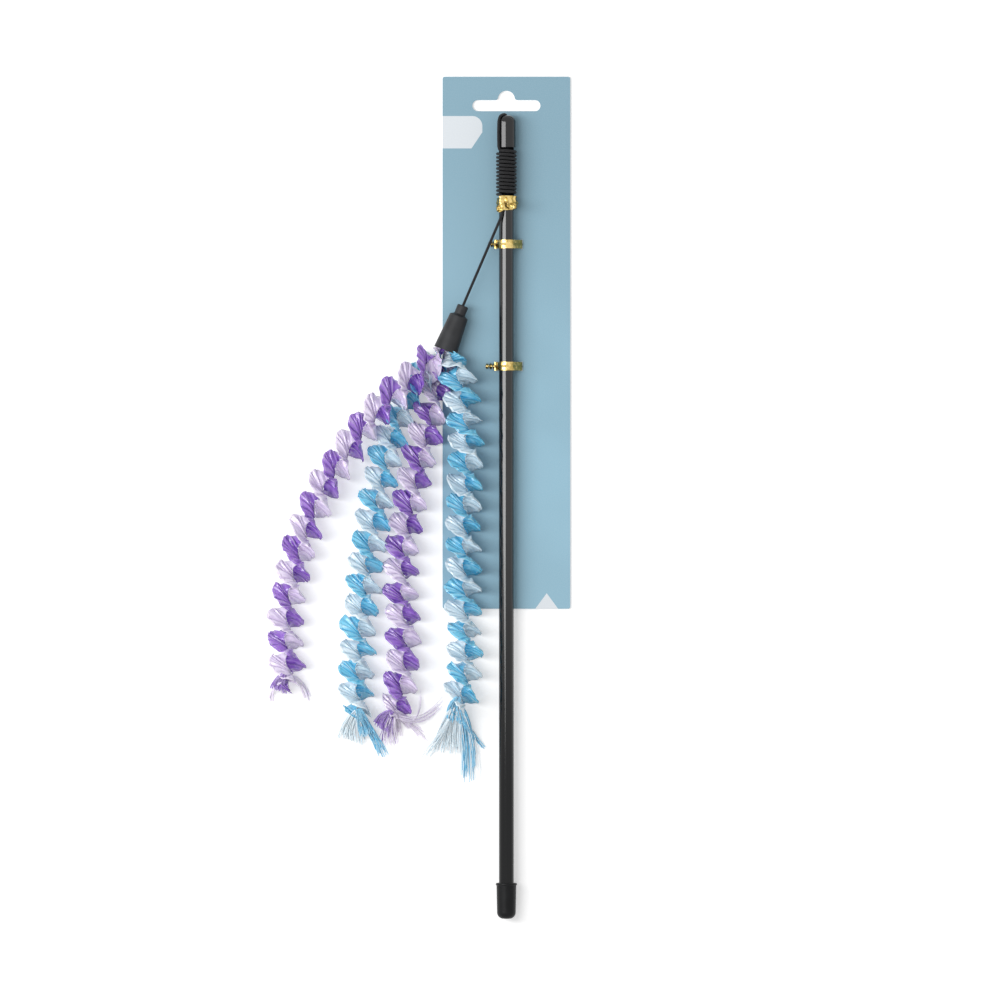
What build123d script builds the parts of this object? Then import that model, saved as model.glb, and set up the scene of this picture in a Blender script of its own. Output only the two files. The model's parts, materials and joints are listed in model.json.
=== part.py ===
from build123d import *
import math
import os

# A cat teaser wand tied to its hang card, in millimetres, +Z up, lying on a table at Z = 0.
# The origin is on the table under the middle of the card's hang slot. +Y runs to the top of
# the card, the rod lies along Y, and the ribbon lure lies beside it on the -X side.

# Clearances
FIT = 0.05
LIE = 0.15
SWING = 0.4

# Hang card and its slot for a display peg
CARD_W = 60.0
CARD_H = 250.0
CARD_T = 0.6
CARD_CORNER_R = 1.0
SLOT_TO_CARD_TOP = 13.6
SLOT_W = 32.0
SLOT_H = 5.2
PEG_D = 8.0
PEG_RISE = 3.0
PEG_BLEND_R = 1.2

# Foil twist ties, each a foil strip with a steel core wire
TIE_W = 4.0
TIE_T = 0.5
TIE_WIRE_D = 0.3
TIE_SLIT_GAP = 0.2
TIE_SLIT_LEFT = 4.9
TIE_SLIT_RIGHT = 7.2
TIE_BEND_R = 0.7
TIE_SHOULDER_R = 1.2
TIE_TAIL_W = 3.2
TIE_TAIL_RISE = 2.0
TIE_TAIL_TURN = 270.0
TIE_TAIL_STEPS = 9
TIE_TAILS = {"middle_tie": (65.2, 3.0), "lower_tie": (122.5, 4.2)}
TOP_TIE_W = 3.2
TOP_TIE_WRAPS = 2
TOP_TIE_PITCH = 3.4
TOP_TIE_TAIL_SIDE = 40.0
TOP_TIE_TAIL_L = 5.6

# Rod and its two push-on caps
ROD_D = 7.0
ROD_WALL = 1.0
TIP_CAP_Y = -4.8
TIP_CAP_L = 15.0
TIP_CAP_WALL = 0.8
TIP_CAP_FLOOR = 2.0
TIP_CAP_DOME_R = 3.2
WAND_L = 377.0
BUTT_CAP_L = 16.8
BUTT_CAP_WALL = 1.1
BUTT_CAP_TAPER = 0.25
BUTT_CAP_FLOOR = 2.0
BUTT_CAP_DOME_R = 3.0
BUTT_CAP_LIP = 0.35
BUTT_CAP_LIP_L = 1.2

# Elastic cord: lead from the tip, winding round the rod, tail under the top tie, free stretch
CORD_D = 1.3
CORD_HOLE_GAP = 0.1
HOLE_RIM_R = 0.35
KNOT_D = 3.8
KNOT_L = 3.2
LOOP_RISE = 0.95
LOOP_R = 3.0
FOLD_R = 1.4
WINDING_DROP = 0.7
WINDING_TURNS = 12
WINDING_PITCH = 1.73
WINDING_START_DEG = 10.0
TAIL_SIDE_DEG = 27.0
TAIL_PAST_TIE = 1.3
GAP_STEP = 0.25
CORD_FREE_L = 45.6
CORD_LEAN = 23.3

# Ferrule, the plastic bell that holds the ribbons
FERRULE_LEAN = 21.5
NECK_D = 5.3
NECK_L = 4.5
PIVOT_ABOVE_NECK = 1.0
SHOULDER_D = 8.9
SHOULDER_L = 0.9
SHOULDER_R = 0.6
MOUTH_D = 11.4
BARREL_L = 17.2
FERRULE_WALL = 0.9
FERRULE_FLOOR = 1.4
PLUG_INSET = 3.0

# Ribbon strands, each a dark and a light ribbon sewn to one thread and twisted left-handed
THREAD_W = 0.7
THREAD_GAP = 0.25
RIBBON_W = 7.0
RIBBON_T = 0.5
RIBBON_ROOT_W = 0.85
RIBBON_END_SHARE = 0.8
RIBBON_END_POWER = 6
LANE_GAP = 2.4
STEPS_A_TURN = 12
MOUTH_RUN = 4.0
ROOT_OFFSET = 1.9
LIFT_AXIS_DROP = 47.6
LIFT_AXIS_RISE = 0.6
FRAY_W = 1.1
FRAY_T = 0.3
FRAY_RING = 2.4
FRAY_GAP = 0.3
FRAY_HALF_DROP = 0.3

# Strand routes from the mouth of the ferrule: lanes to the right, millimetres down the
# card, and height in strand radii above the card. The last root point is on the lift axis.
STRANDS = {
    1: {
        "corner": (-1, 1),
        "pitch": 21.0,
        "twist": -68.0,
        "root": [(-0.44, 7.2, 1.3), (-1.03, 14.2, 1.55), (-1.59, 23.6, 1.55), (-2.12, 30.7, 1.32),
                 (-2.47, 39.2, 1.08), (-2.74, LIFT_AXIS_DROP, 1.0)],
        "free": [(-3.24, 64.1, 1.0), (-3.67, 81.9, 1.0), (-3.99, 102.6, 1.0), (-4.15, 122.8, 1.0),
                 (-4.23, 141.6, 1.0), (-4.28, 158.0, 1.0)],
        "fray": [(-38.0, 11.0), (-12.0, 9.0), (14.0, 10.0), (40.0, 13.0), (62.0, 9.0)],
    },
    2: {
        "corner": (-1, -1),
        "pitch": 19.7,
        "twist": -9.0,
        "root": [(-0.33, 8.1, 0.46), (-0.76, 19.4, 0.62), (-1.11, 30.2, 0.78), (-1.4, 39.2, 0.91),
                 (-1.56, LIFT_AXIS_DROP, 1.0)],
        "free": [(-1.8, 71.1, 1.0), (-2.07, 97.0, 1.0), (-2.26, 122.8, 1.0), (-2.39, 148.7, 1.0),
                 (-2.42, 172.0, 1.0)],
        "fray": [(-30.0, 8.0), (-6.0, 12.0), (16.0, 17.0), (34.0, 14.0), (52.0, 10.0)],
    },
    3: {
        "corner": (1, -1),
        "pitch": 21.4,
        "twist": -25.0,
        "root": [(0.07, 10.0, 0.46), (-0.17, 21.8, 0.64), (-0.36, 31.2, 0.79), (-0.49, 39.2, 0.91),
                 (-0.56, LIFT_AXIS_DROP, 1.0)],
        "free": [(-0.76, 68.8, 1.0), (-0.95, 89.9, 1.0), (-1.04, 113.4, 1.0), (-1.05, 136.9, 1.0),
                 (-1.16, 158.1, 1.0), (-1.3, 172.0, 1.0)],
        "fray": [(-34.0, 10.0), (-8.0, 12.0), (18.0, 11.0), (44.0, 14.0), (74.0, 18.0)],
    },
    4: {
        "corner": (1, 1),
        "pitch": 19.7,
        "twist": -90.0,
        "root": [(0.25, 10.0, 1.22), (0.36, 20.4, 1.32), (0.47, 30.2, 1.21), (0.52, 39.2, 1.07),
                 (0.52, LIFT_AXIS_DROP, 1.0)],
        "free": [(0.51, 71.1, 1.0), (0.44, 92.3, 1.0), (0.33, 113.4, 1.0), (0.44, 136.9, 1.0),
                 (0.43, 155.7, 1.0), (0.33, 172.0, 1.0)],
        "fray": [(-44.0, 15.0), (-22.0, 18.0), (0.0, 30.0), (14.0, 26.0), (34.0, 14.0)],
    },
}

# Heights and places that follow from the sizes
ROD_R = ROD_D / 2
CORD_R = CORD_D / 2
CARD_BOTTOM = TIE_T + FIT
CARD_TOP = CARD_BOTTOM + CARD_T
WIND_R = ROD_R + CORD_HOLE_GAP + CORD_R
ROD_Z = CARD_TOP + WIND_R + CORD_R + 2 * FIT
TIP_CAP_R = ROD_R + FIT + TIP_CAP_WALL
TIP_FLOOR_Y = TIP_CAP_Y - TIP_CAP_FLOOR
ROD_TOP_Y = TIP_FLOOR_Y - FIT
WAND_END_Y = TIP_CAP_Y - WAND_L
ROD_END_Y = WAND_END_Y + BUTT_CAP_FLOOR + FIT
WINDING_Y = TIP_CAP_Y - TIP_CAP_L - CORD_R - WINDING_DROP
TAIL_RUN = CORD_D + FOLD_R
TAIL_CORNER_R = math.hypot(WIND_R, TAIL_RUN)
WINDING_END_DEG = 90 - TAIL_SIDE_DEG - math.degrees(math.atan2(TAIL_RUN, WIND_R))
WINDING_TOTAL_DEG = 360 * WINDING_TURNS + WINDING_END_DEG - WINDING_START_DEG
WINDING_END_Y = WINDING_Y - WINDING_TOTAL_DEG / 360 * WINDING_PITCH
TOP_TIE_Y = WINDING_END_Y - CORD_D - LIE
TOP_TIE_END_Y = TOP_TIE_Y - (TOP_TIE_WRAPS - 1) * TOP_TIE_PITCH - TOP_TIE_W
STRAND_R = THREAD_W / 2 + THREAD_GAP + RIBBON_W
LANE = 2 * STRAND_R + LANE_GAP
SOFT_BASE_Z = CARD_TOP + LIE
FERRULE_Z = CARD_TOP + MOUTH_D / 2 + LIE
LIFT_AXIS_Z = SOFT_BASE_Z + 2 * STRAND_R + LIFT_AXIS_RISE


def lean(degrees):
    """Flat direction that leans from -Y to the lure's side by an angle."""
    angle = math.radians(degrees)
    return Vector(-math.sin(angle), -math.cos(angle), 0)


def round_rod(side_degrees, radius, y):
    """Point beside the rod, an angle from its top to the lure's side."""
    angle = math.radians(side_degrees)
    return Vector(-radius * math.sin(angle), y, ROD_Z + radius * math.cos(angle))


def turned(profile, y_start):
    """Solid of revolution about the rod's axis from (radius, distance down the rod) points."""
    place = Plane(origin=(0, y_start, ROD_Z), x_dir=(1, 0, 0), z_dir=(0, 0, 1))
    return revolve(place * make_face(profile), Axis((0, 0, ROD_Z), (0, 1, 0)))


# Hang card

def hang_card():
    """Flat card with a peg slot and two pairs of slits for the ties."""
    middle_y = SLOT_TO_CARD_TOP - CARD_H / 2
    outline = Pos(0, middle_y) * RectangleRounded(CARD_W, CARD_H, CARD_CORNER_R)
    slot = SlotOverall(SLOT_W, SLOT_H) + Pos(0, PEG_RISE) * Circle(PEG_D / 2)
    inner_corners = [v for v in slot.vertices() if v.Y > 0 and abs(v.X) < PEG_D / 2 + FIT]
    slot = fillet(inner_corners, PEG_BLEND_R)
    face = outline - slot
    slit = Rectangle(TIE_T + 2 * TIE_SLIT_GAP, TIE_W + 2 * TIE_SLIT_GAP)
    for tie_y, tail_length in TIE_TAILS.values():
        for slit_x in (-TIE_SLIT_LEFT, TIE_SLIT_RIGHT):
            face -= Pos(slit_x, -tie_y) * slit
    return Pos(0, 0, CARD_BOTTOM) * extrude(face, CARD_T)


# Twist ties

def tie_tail(start, way, across, length):
    """Twisted tail of two strip ends laid together."""
    up = way.cross(across)
    sections = []
    for step in range(TIE_TAIL_STEPS + 1):
        share = step / TIE_TAIL_STEPS
        turn = math.radians(TIE_TAIL_TURN * share)
        wide = (across * math.cos(turn) + up * math.sin(turn)) * (TIE_TAIL_W / 2)
        thick = (up * math.cos(turn) - across * math.sin(turn)) * TIE_T
        place = start + way * length * share
        sections.append(box_section(place, wide, thick))
    return faceted(sections)


def card_tie(tie_y, tail_length):
    """Strip over the rod and behind the card, twisted at its left, with its core wire."""
    ring_r = ROD_R + FIT + TIE_T / 2
    upper_z = CARD_TOP + TIE_TAIL_RISE + TIE_T / 2
    lower_z = upper_z - TIE_T - 2 * FIT
    tail_x = -TIE_SLIT_LEFT - TIE_BEND_R - FIT
    left = Vector(-TIE_SLIT_LEFT, 0, upper_z)
    right = Vector(TIE_SLIT_RIGHT, 0, CARD_TOP + TIE_SHOULDER_R)

    def touch_angle(point, sign):
        across = point.X
        up = point.Z - ROD_Z
        return math.atan2(up, across) + sign * math.acos(ring_r / math.hypot(across, up))

    left_angle = touch_angle(left, -1) % (2 * math.pi)
    right_angle = touch_angle(right, 1)
    apex_angle = (left_angle + right_angle) / 2
    apex_r = ring_r / math.cos((left_angle - right_angle) / 2)
    apex = Vector(apex_r * math.cos(apex_angle), 0, ROD_Z + apex_r * math.sin(apex_angle))
    corners = [
        (tail_x, 0, upper_z),
        left,
        apex,
        right,
        (TIE_SLIT_RIGHT, 0, TIE_T / 2),
        (-TIE_SLIT_LEFT, 0, TIE_T / 2),
        (-TIE_SLIT_LEFT, 0, lower_z),
        (tail_x, 0, lower_z),
    ]
    radii = [TIE_BEND_R, ring_r, TIE_SHOULDER_R, TIE_BEND_R, TIE_BEND_R, TIE_BEND_R]
    path = Pos(0, -tie_y, 0) * FilletPolyline(*corners, radius=radii)
    start = Plane(path @ 0, x_dir=(0, 1, 0), z_dir=path % 0)
    strip = sweep(start * Rectangle(TIE_W, TIE_T), path)
    wire = sweep(start * Circle(TIE_WIRE_D / 2), path)
    tail_start = Vector(tail_x + FIT, -tie_y, (upper_z + lower_z) / 2)
    tail = tie_tail(tail_start, Vector(-1, 0, 0), Vector(0, 1, 0), tail_length)
    return strip + tail - wire, wire


def tie_belt(grow):
    """Closed outline round the rod and the cord's tail, grown outwards by a distance."""
    rod = Vector(0, ROD_Z)
    bulge = round_rod(TAIL_SIDE_DEG, TAIL_CORNER_R, 0)
    tail = Vector(bulge.X, bulge.Z)
    rod_r = ROD_R + FIT + grow
    tail_r = CORD_R + LIE + grow
    along = (tail - rod).normalized()
    across = Vector(-along.Y, along.X)
    touch = math.acos((rod_r - tail_r) / (tail - rod).length)
    lift = along * math.cos(touch)
    spread = across * math.sin(touch)
    upper_line = Line(tail + (lift + spread) * tail_r, rod + (lift + spread) * rod_r)
    lower_line = Line(rod + (lift - spread) * rod_r, tail + (lift - spread) * tail_r)
    rod_arc = ThreePointArc(upper_line @ 1, rod - along * rod_r, lower_line @ 0)
    tail_arc = ThreePointArc(lower_line @ 1, tail + along * tail_r, upper_line @ 0)
    return Wire([upper_line, rod_arc, lower_line, tail_arc])


def top_tie():
    """Strip wrapped round the rod and the cord's tail, with a twisted tail over the wraps."""
    ring = make_face(tie_belt(TIE_T)) - make_face(tie_belt(0))
    tail_r = TAIL_CORNER_R + CORD_R + TIE_T
    tail_start = round_rod(TOP_TIE_TAIL_SIDE, tail_r, TOP_TIE_Y - LIE)
    tail = tie_tail(tail_start, Vector(0, -1, 0), Vector(1, 0, 0), TOP_TIE_TAIL_L)
    above = Plane((0, TOP_TIE_Y + LIE, 0), x_dir=(1, 0, 0), z_dir=(0, -1, 0))
    foil = tail - extrude(above * make_face(tie_belt(0)), TOP_TIE_TAIL_L + TOP_TIE_W)
    wires = []
    for wrap in range(TOP_TIE_WRAPS):
        top_y = TOP_TIE_Y - wrap * TOP_TIE_PITCH
        band = extrude(Plane((0, top_y, 0), x_dir=(1, 0, 0), z_dir=(0, -1, 0)) * ring, TOP_TIE_W)
        middle = Plane((0, top_y - TOP_TIE_W / 2, 0), x_dir=(1, 0, 0), z_dir=(0, -1, 0))
        loop = middle * tie_belt(TIE_T / 2)
        wire = sweep(Plane(loop @ 0, z_dir=loop % 0) * Circle(TIE_WIRE_D / 2), loop)
        wires.append(wire)
        foil += band
    return foil - wires, Compound(wires)


# Rod and caps

def rod_tube():
    """Plain tube that reaches the floors of both caps."""
    place = Plane((0, ROD_TOP_Y, ROD_Z), z_dir=(0, -1, 0))
    ring = Circle(ROD_R) - Circle(ROD_R - ROD_WALL)
    return extrude(place * ring, ROD_TOP_Y - ROD_END_Y)


def tip_cap():
    """Domed cap with a hole for the cord."""
    hole_r = CORD_R + CORD_HOLE_GAP
    bore_r = ROD_R + FIT
    with BuildLine() as profile:
        Polyline(
            (hole_r, -TIP_CAP_FLOOR),
            (bore_r, -TIP_CAP_FLOOR),
            (bore_r, -TIP_CAP_L),
            (TIP_CAP_R, -TIP_CAP_L),
            (TIP_CAP_R, -TIP_CAP_DOME_R),
        )
        RadiusArc((TIP_CAP_R, -TIP_CAP_DOME_R), (TIP_CAP_R - TIP_CAP_DOME_R, 0), -TIP_CAP_DOME_R)
        Line((TIP_CAP_R - TIP_CAP_DOME_R, 0), (hole_r + HOLE_RIM_R, 0))
        RadiusArc((hole_r + HOLE_RIM_R, 0), (hole_r, -HOLE_RIM_R), -HOLE_RIM_R)
        Line((hole_r, -HOLE_RIM_R), (hole_r, -TIP_CAP_FLOOR))
    return turned(profile.line, TIP_CAP_Y)


def butt_cap():
    """Slightly tapered cap with a rolled lip and a rounded end."""
    bore_r = ROD_R + FIT
    mouth_r = bore_r + BUTT_CAP_WALL
    end_r = mouth_r - BUTT_CAP_TAPER
    lip_r = mouth_r + BUTT_CAP_LIP
    with BuildLine() as profile:
        Polyline(
            (0, BUTT_CAP_FLOOR),
            (bore_r, BUTT_CAP_FLOOR),
            (bore_r, BUTT_CAP_L),
            (mouth_r, BUTT_CAP_L),
        )
        ThreePointArc(
            (mouth_r, BUTT_CAP_L),
            (lip_r, BUTT_CAP_L - BUTT_CAP_LIP_L / 2),
            (mouth_r, BUTT_CAP_L - BUTT_CAP_LIP_L),
        )
        Polyline((mouth_r, BUTT_CAP_L - BUTT_CAP_LIP_L), (end_r, BUTT_CAP_DOME_R))
        RadiusArc((end_r, BUTT_CAP_DOME_R), (end_r - BUTT_CAP_DOME_R, 0), BUTT_CAP_DOME_R)
        Polyline((end_r - BUTT_CAP_DOME_R, 0), (0, 0), (0, BUTT_CAP_FLOOR))
    return turned(profile.line, WAND_END_Y)


# Elastic cord

def knot_profile(top):
    """Half outline of a pulled knot, flat where the cord goes in."""
    with BuildLine() as profile:
        Polyline((0, top - KNOT_L), (0, top), (CORD_R, top))
        ThreePointArc((CORD_R, top), (KNOT_D / 2, top - KNOT_L / 2), (CORD_R, top - KNOT_L))
        Line((CORD_R, top - KNOT_L), (0, top - KNOT_L))
    return profile.line


def winding_point(degrees):
    """Point of the winding's centre line and the direction that it runs in there."""
    angle = math.radians(degrees)
    y = WINDING_Y - (degrees - WINDING_START_DEG) / 360 * WINDING_PITCH
    point = Vector(-WIND_R * math.cos(angle), y, ROD_Z + WIND_R * math.sin(angle))
    climb = -WINDING_PITCH / (2 * math.pi)
    return point, Vector(WIND_R * math.sin(angle), climb, WIND_R * math.cos(angle)).normalized()


def winding_end(degrees, sign):
    """Straight end of the winding, one cord diameter long, and the direction that it runs in."""
    point, way = winding_point(degrees)
    return point + way * sign * CORD_D, way


def biarc(start, start_way, end, end_way):
    """Two arcs that join two points and keep the direction at both."""
    chord = end - start
    both = start_way + end_way
    bend = 2 * (1 - start_way.dot(end_way))
    reach = chord.dot(both)
    step = (-reach + math.sqrt(reach**2 + bend * chord.dot(chord))) / bend
    near = start + start_way * step
    far = end - end_way * step
    middle = (near + far) / 2
    first = Edge.make_tangent_arc(start, start_way, middle)
    return [first, Edge.make_tangent_arc(middle, (far - near).normalized(), end)]


def cord_tube(path):
    """Round cord along a path."""
    return sweep(Plane(path @ 0, z_dir=path % 0) * Circle(CORD_R), path)


def cord_winding():
    """One unbroken tube wound round the rod under the tip cap."""
    quarters = 4 * WINDING_TURNS
    marks = [WINDING_START_DEG + WINDING_TOTAL_DEG * mark / quarters for mark in range(quarters + 1)]
    edges = []
    for here, there in zip(marks, marks[1:]):
        edges += biarc(*winding_point(here), *winding_point(there))
    start = winding_end(marks[0], -1)[0]
    end = winding_end(marks[-1], 1)[0]
    path = Wire([Edge.make_line(start, edges[0] @ 0), *edges, Edge.make_line(edges[-1] @ 1, end)])
    return path, cord_tube(path)


def cord_lead():
    """Cord from the knot in the rod, out of the tip cap and down its side to the winding."""
    end, way = winding_end(WINDING_START_DEG, -1)
    corner = end - way * FOLD_R
    loop_y = TIP_CAP_Y + LOOP_RISE
    path = FilletPolyline(
        (0, TIP_FLOOR_Y - FIT, ROD_Z),
        (0, loop_y, ROD_Z),
        (corner.X, loop_y, corner.Z),
        corner,
        end,
        radius=[FOLD_R, LOOP_R, FOLD_R - FIT],
    )
    return path, cord_tube(path)


def cord_tail():
    """Cord from the winding to its exit under the top tie."""
    start, way = winding_end(WINDING_START_DEG + WINDING_TOTAL_DEG, 1)
    corner = start + way * FOLD_R
    back = (corner - CORD_EXIT).normalized()
    path = FilletPolyline(start, corner, CORD_EXIT + back * (CORD_R + SWING / 2), radius=FOLD_R - FIT)
    return path, cord_tube(path)


CORD_EXIT = round_rod(TAIL_SIDE_DEG, WIND_R, TOP_TIE_END_Y - TAIL_PAST_TIE)
CORD_FALL = CORD_EXIT.Z - FERRULE_Z
PIVOT = CORD_EXIT + lean(CORD_LEAN) * math.sqrt(CORD_FREE_L**2 - CORD_FALL**2) - Vector(0, 0, CORD_FALL)


def cord_free():
    """Taut stretch from the top tie to the ferrule, with round ends that can turn."""
    way = (PIVOT - CORD_EXIT).normalized()
    tube = extrude(Plane(CORD_EXIT, z_dir=way) * Circle(CORD_R), CORD_FREE_L)
    return tube + Pos(CORD_EXIT) * Sphere(CORD_R) + Pos(PIVOT) * Sphere(CORD_R)


# Ferrule

FERRULE_WAY = lean(FERRULE_LEAN)
FERRULE_SIDE = Vector(-FERRULE_WAY.Y, FERRULE_WAY.X, 0)
NECK_TOP = PIVOT + FERRULE_WAY * PIVOT_ABOVE_NECK
BARREL_START = NECK_L + SHOULDER_L
FERRULE_L = BARREL_START + BARREL_L
MOUTH = NECK_TOP + FERRULE_WAY * FERRULE_L
CAVITY_START = NECK_L + FERRULE_FLOOR
PLUG_END = FERRULE_L - PLUG_INSET


def barrel_r(down):
    """Outer radius of the flared barrel at a distance from the top of the neck."""
    share = (down - BARREL_START) / BARREL_L
    return (SHOULDER_D + (MOUTH_D - SHOULDER_D) * share) / 2


def in_ferrule(profile):
    """Revolve (radius, distance from the neck's top) points about the ferrule's axis."""
    place = Plane(NECK_TOP, x_dir=FERRULE_SIDE, z_dir=FERRULE_SIDE.cross(FERRULE_WAY))
    return revolve(place * make_face(profile), Axis(NECK_TOP, FERRULE_WAY))


def ferrule_bell():
    """Bell with a narrow neck for the cord and a flared mouth for the ribbons."""
    hole_r = CORD_R + CORD_HOLE_GAP
    outline = Polyline(
        (hole_r, 0),
        (NECK_D / 2, 0),
        (NECK_D / 2, NECK_L),
        (SHOULDER_D / 2, BARREL_START),
        (MOUTH_D / 2, FERRULE_L),
        (MOUTH_D / 2 - FERRULE_WALL, FERRULE_L),
        (barrel_r(CAVITY_START) - FERRULE_WALL, CAVITY_START),
        (hole_r, CAVITY_START),
        close=True,
    )
    face = make_face(outline)
    rims = [v for v in face.vertices() if v.X > NECK_D / 2 - FIT and v.Y < BARREL_START + FIT]
    face = fillet(rims, SHOULDER_R)
    return in_ferrule(face.face().outer_wire())


def cord_end():
    """End of the cord in the neck, with the knot that stops it."""
    stub_top = CORD_R + SWING / 2 - PIVOT_ABOVE_NECK
    knot_top = CAVITY_START + FIT
    with BuildLine() as profile:
        Polyline((0, stub_top), (CORD_R, stub_top), (CORD_R, knot_top))
        ThreePointArc(
            (CORD_R, knot_top),
            (KNOT_D / 2, knot_top + KNOT_L / 2),
            (CORD_R, knot_top + KNOT_L),
        )
        Polyline((CORD_R, knot_top + KNOT_L), (0, knot_top + KNOT_L), (0, stub_top))
    return in_ferrule(profile.line)


def glue_plug():
    """Glue that holds the ribbon roots in the barrel."""
    start = CAVITY_START + KNOT_L + 2 * FIT
    inside = FERRULE_WALL + FIT
    profile = Polyline(
        (0, start),
        (barrel_r(start) - inside, start),
        (barrel_r(PLUG_END) - inside, PLUG_END),
        (0, PLUG_END),
        close=True,
    )
    return in_ferrule(profile)


# Ribbon strands

def box_section(place, wide, thick):
    """Four corners of a flat section from its half width and half thickness."""
    return [place - wide - thick, place + wide - thick, place + wide + thick, place - wide + thick]


def triangles(a, b, c, d):
    """Two flat triangles that fill a four-cornered patch."""
    return [Face(Wire.make_polygon([a, b, c])), Face(Wire.make_polygon([a, c, d]))]


def faceted(sections):
    """Closed solid through a row of four-cornered sections."""
    faces = triangles(*sections[0][::-1]) + triangles(*sections[-1])
    for here, there in zip(sections, sections[1:]):
        faces += triangles(here[0], here[1], there[1], there[0])
        faces += triangles(here[1], here[2], there[2], there[1])
        faces += triangles(here[3], there[3], there[2], here[2])
        faces += triangles(here[0], there[0], there[3], here[3])
    return Solid(Shell(faces))


def route_point(lane, down, height):
    """Place of a route point in millimetres."""
    return Vector(MOUTH.X + lane * LANE, MOUTH.Y - down, SOFT_BASE_Z + height * STRAND_R)


def strand_line(strand):
    """Centre line from the glue to the frayed end."""
    side, up = strand["corner"]
    corner = FERRULE_SIDE * side * ROOT_OFFSET + Vector(0, 0, up * ROOT_OFFSET)
    start = NECK_TOP + FERRULE_WAY * (PLUG_END + LIE) + corner
    points = [start, start + FERRULE_WAY * MOUTH_RUN]
    points += [route_point(*place) for place in strand["root"] + strand["free"]]
    return Spline(*points)


def lift_length(line):
    """Length of a centre line from its start to the lift axis."""
    low = 0.0
    high = line.length
    while high - low > FIT / 10:
        middle = (low + high) / 2
        if line.position_at(middle, position_mode=PositionMode.LENGTH).Y > MOUTH.Y - LIFT_AXIS_DROP:
            low = middle
        else:
            high = middle
    return low


def strand_frames(line, lengths, lift):
    """Points of a centre line with the sideways direction of their sections."""
    frames = []
    for length in lengths:
        way = line.tangent_at(length, position_mode=PositionMode.LENGTH)
        square = min(1.0, length / lift)
        side = Vector(-way.Y, way.X, 0).normalized() * (1 - square) + Vector(1, 0, 0) * square
        frames.append((line.position_at(length, position_mode=PositionMode.LENGTH), way, side.normalized()))
    return frames


def ribbon(frames, turns, radii, pitch):
    """Ribbon that winds about the thread, with flat facets."""
    inner = THREAD_W / 2 + THREAD_GAP
    sections = []
    for (point, way, side), turn, radius in zip(frames, turns, radii):
        out = Vector(0, 0, 1) * math.sin(turn) - side * math.cos(turn)
        round_way = Vector(0, 0, 1) * math.cos(turn) + side * math.sin(turn)
        corners = []
        for reach in (inner, radius):
            run = way + round_way * (2 * math.pi * reach / pitch)
            half = out.cross(run).normalized() * (RIBBON_T / 2)
            corners.append((point + out * reach - half, point + out * reach + half))
        (low_in, high_in), (low_out, high_out) = corners
        sections.append([low_in, low_out, high_out, high_in])
    return faceted(sections)


def thread(frames):
    """Sewing thread of square section along a centre line."""
    up = Vector(0, 0, THREAD_W / 2)
    return faceted([box_section(point, side * (-THREAD_W / 2), up) for point, way, side in frames])


def fray(end, turn, strips):
    """Loose strips fanned out from the cut ends of a strand's ribbons."""
    cut = Vector(math.cos(turn), 0, -math.sin(turn))
    if cut.X < 0:
        cut = -cut
    half = Vector(0, 0, FRAY_T / 2)
    solids = []
    for number, (angle, length) in enumerate(strips):
        spread = math.radians(angle)
        out = Vector(math.sin(spread), -math.cos(spread), 0)
        across = Vector(math.cos(spread), math.sin(spread), 0) * (FRAY_W / 2)
        shift = (number - (len(strips) - 1) / 2) * FRAY_RING
        start = end + cut * shift - Vector(0, FRAY_GAP, 0)
        drop = Vector(0, 0, SOFT_BASE_Z + FRAY_T - start.Z)
        middle = start + out * length / 2 + drop * FRAY_HALF_DROP
        tip = start + out * length + drop
        solids.append(faceted([box_section(place, -across, half) for place in (start, middle, tip)]))
    return Compound(solids)


def even_lengths(first, last, pitch):
    """Even lengths along a line, a fixed number to each turn of the twist."""
    steps = round(STEPS_A_TURN * (last - first) / pitch)
    return [first + (last - first) * step / steps for step in range(steps + 1)]


def ribbon_width(length, lift, total):
    """Width of a ribbon, which opens out from the glue and narrows at its cut end."""
    if length < lift:
        return RIBBON_ROOT_W + (RIBBON_W - RIBBON_ROOT_W) * length / lift
    share = (length - lift) / (total - lift)
    return RIBBON_W * (1 - (1 - RIBBON_END_SHARE) * share**RIBBON_END_POWER)


def strand_nodes(number, strand):
    """Dark and light ribbon, thread and frayed end of one strand, split at the lift axis."""
    line = strand_line(strand)
    lift = lift_length(line)
    pitch = strand["pitch"]
    inner = THREAD_W / 2 + THREAD_GAP
    nodes = {}
    for tail, first, last in (("_root", 0.0, lift - SWING), ("", lift + SWING, line.length)):
        lengths = even_lengths(first, last, pitch)
        frames = strand_frames(line, lengths, lift)
        turns = [math.radians(strand["twist"]) + 2 * math.pi * (length - lift) / pitch for length in lengths]
        opposite = [turn + math.pi for turn in turns]
        radii = [inner + ribbon_width(length, lift, line.length) for length in lengths]
        nodes[f"strand_{number}_dark_ribbon{tail}"] = ribbon(frames, turns, radii, pitch)
        nodes[f"strand_{number}_light_ribbon{tail}"] = ribbon(frames, opposite, radii, pitch)
        nodes[f"strand_{number}_thread{tail}"] = thread(frames)
    nodes[f"strand_{number}_fray"] = fray(line @ 1, turns[-1], strand["fray"])
    return nodes


def least_gap(path):
    """Least clear distance between neighbouring turns of the winding, on points along it."""
    a_turn = 2 * math.pi * WIND_R
    steps = round(path.length / GAP_STEP)
    half_turn = round(a_turn / 2 / GAP_STEP)
    points = [path.position_at(step / steps) for step in range(steps + 1)]
    gap = math.inf
    for index, point in enumerate(points):
        for other in points[index + half_turn:index + 3 * half_turn]:
            gap = min(gap, (other - point).length - CORD_D)
    return gap


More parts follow.
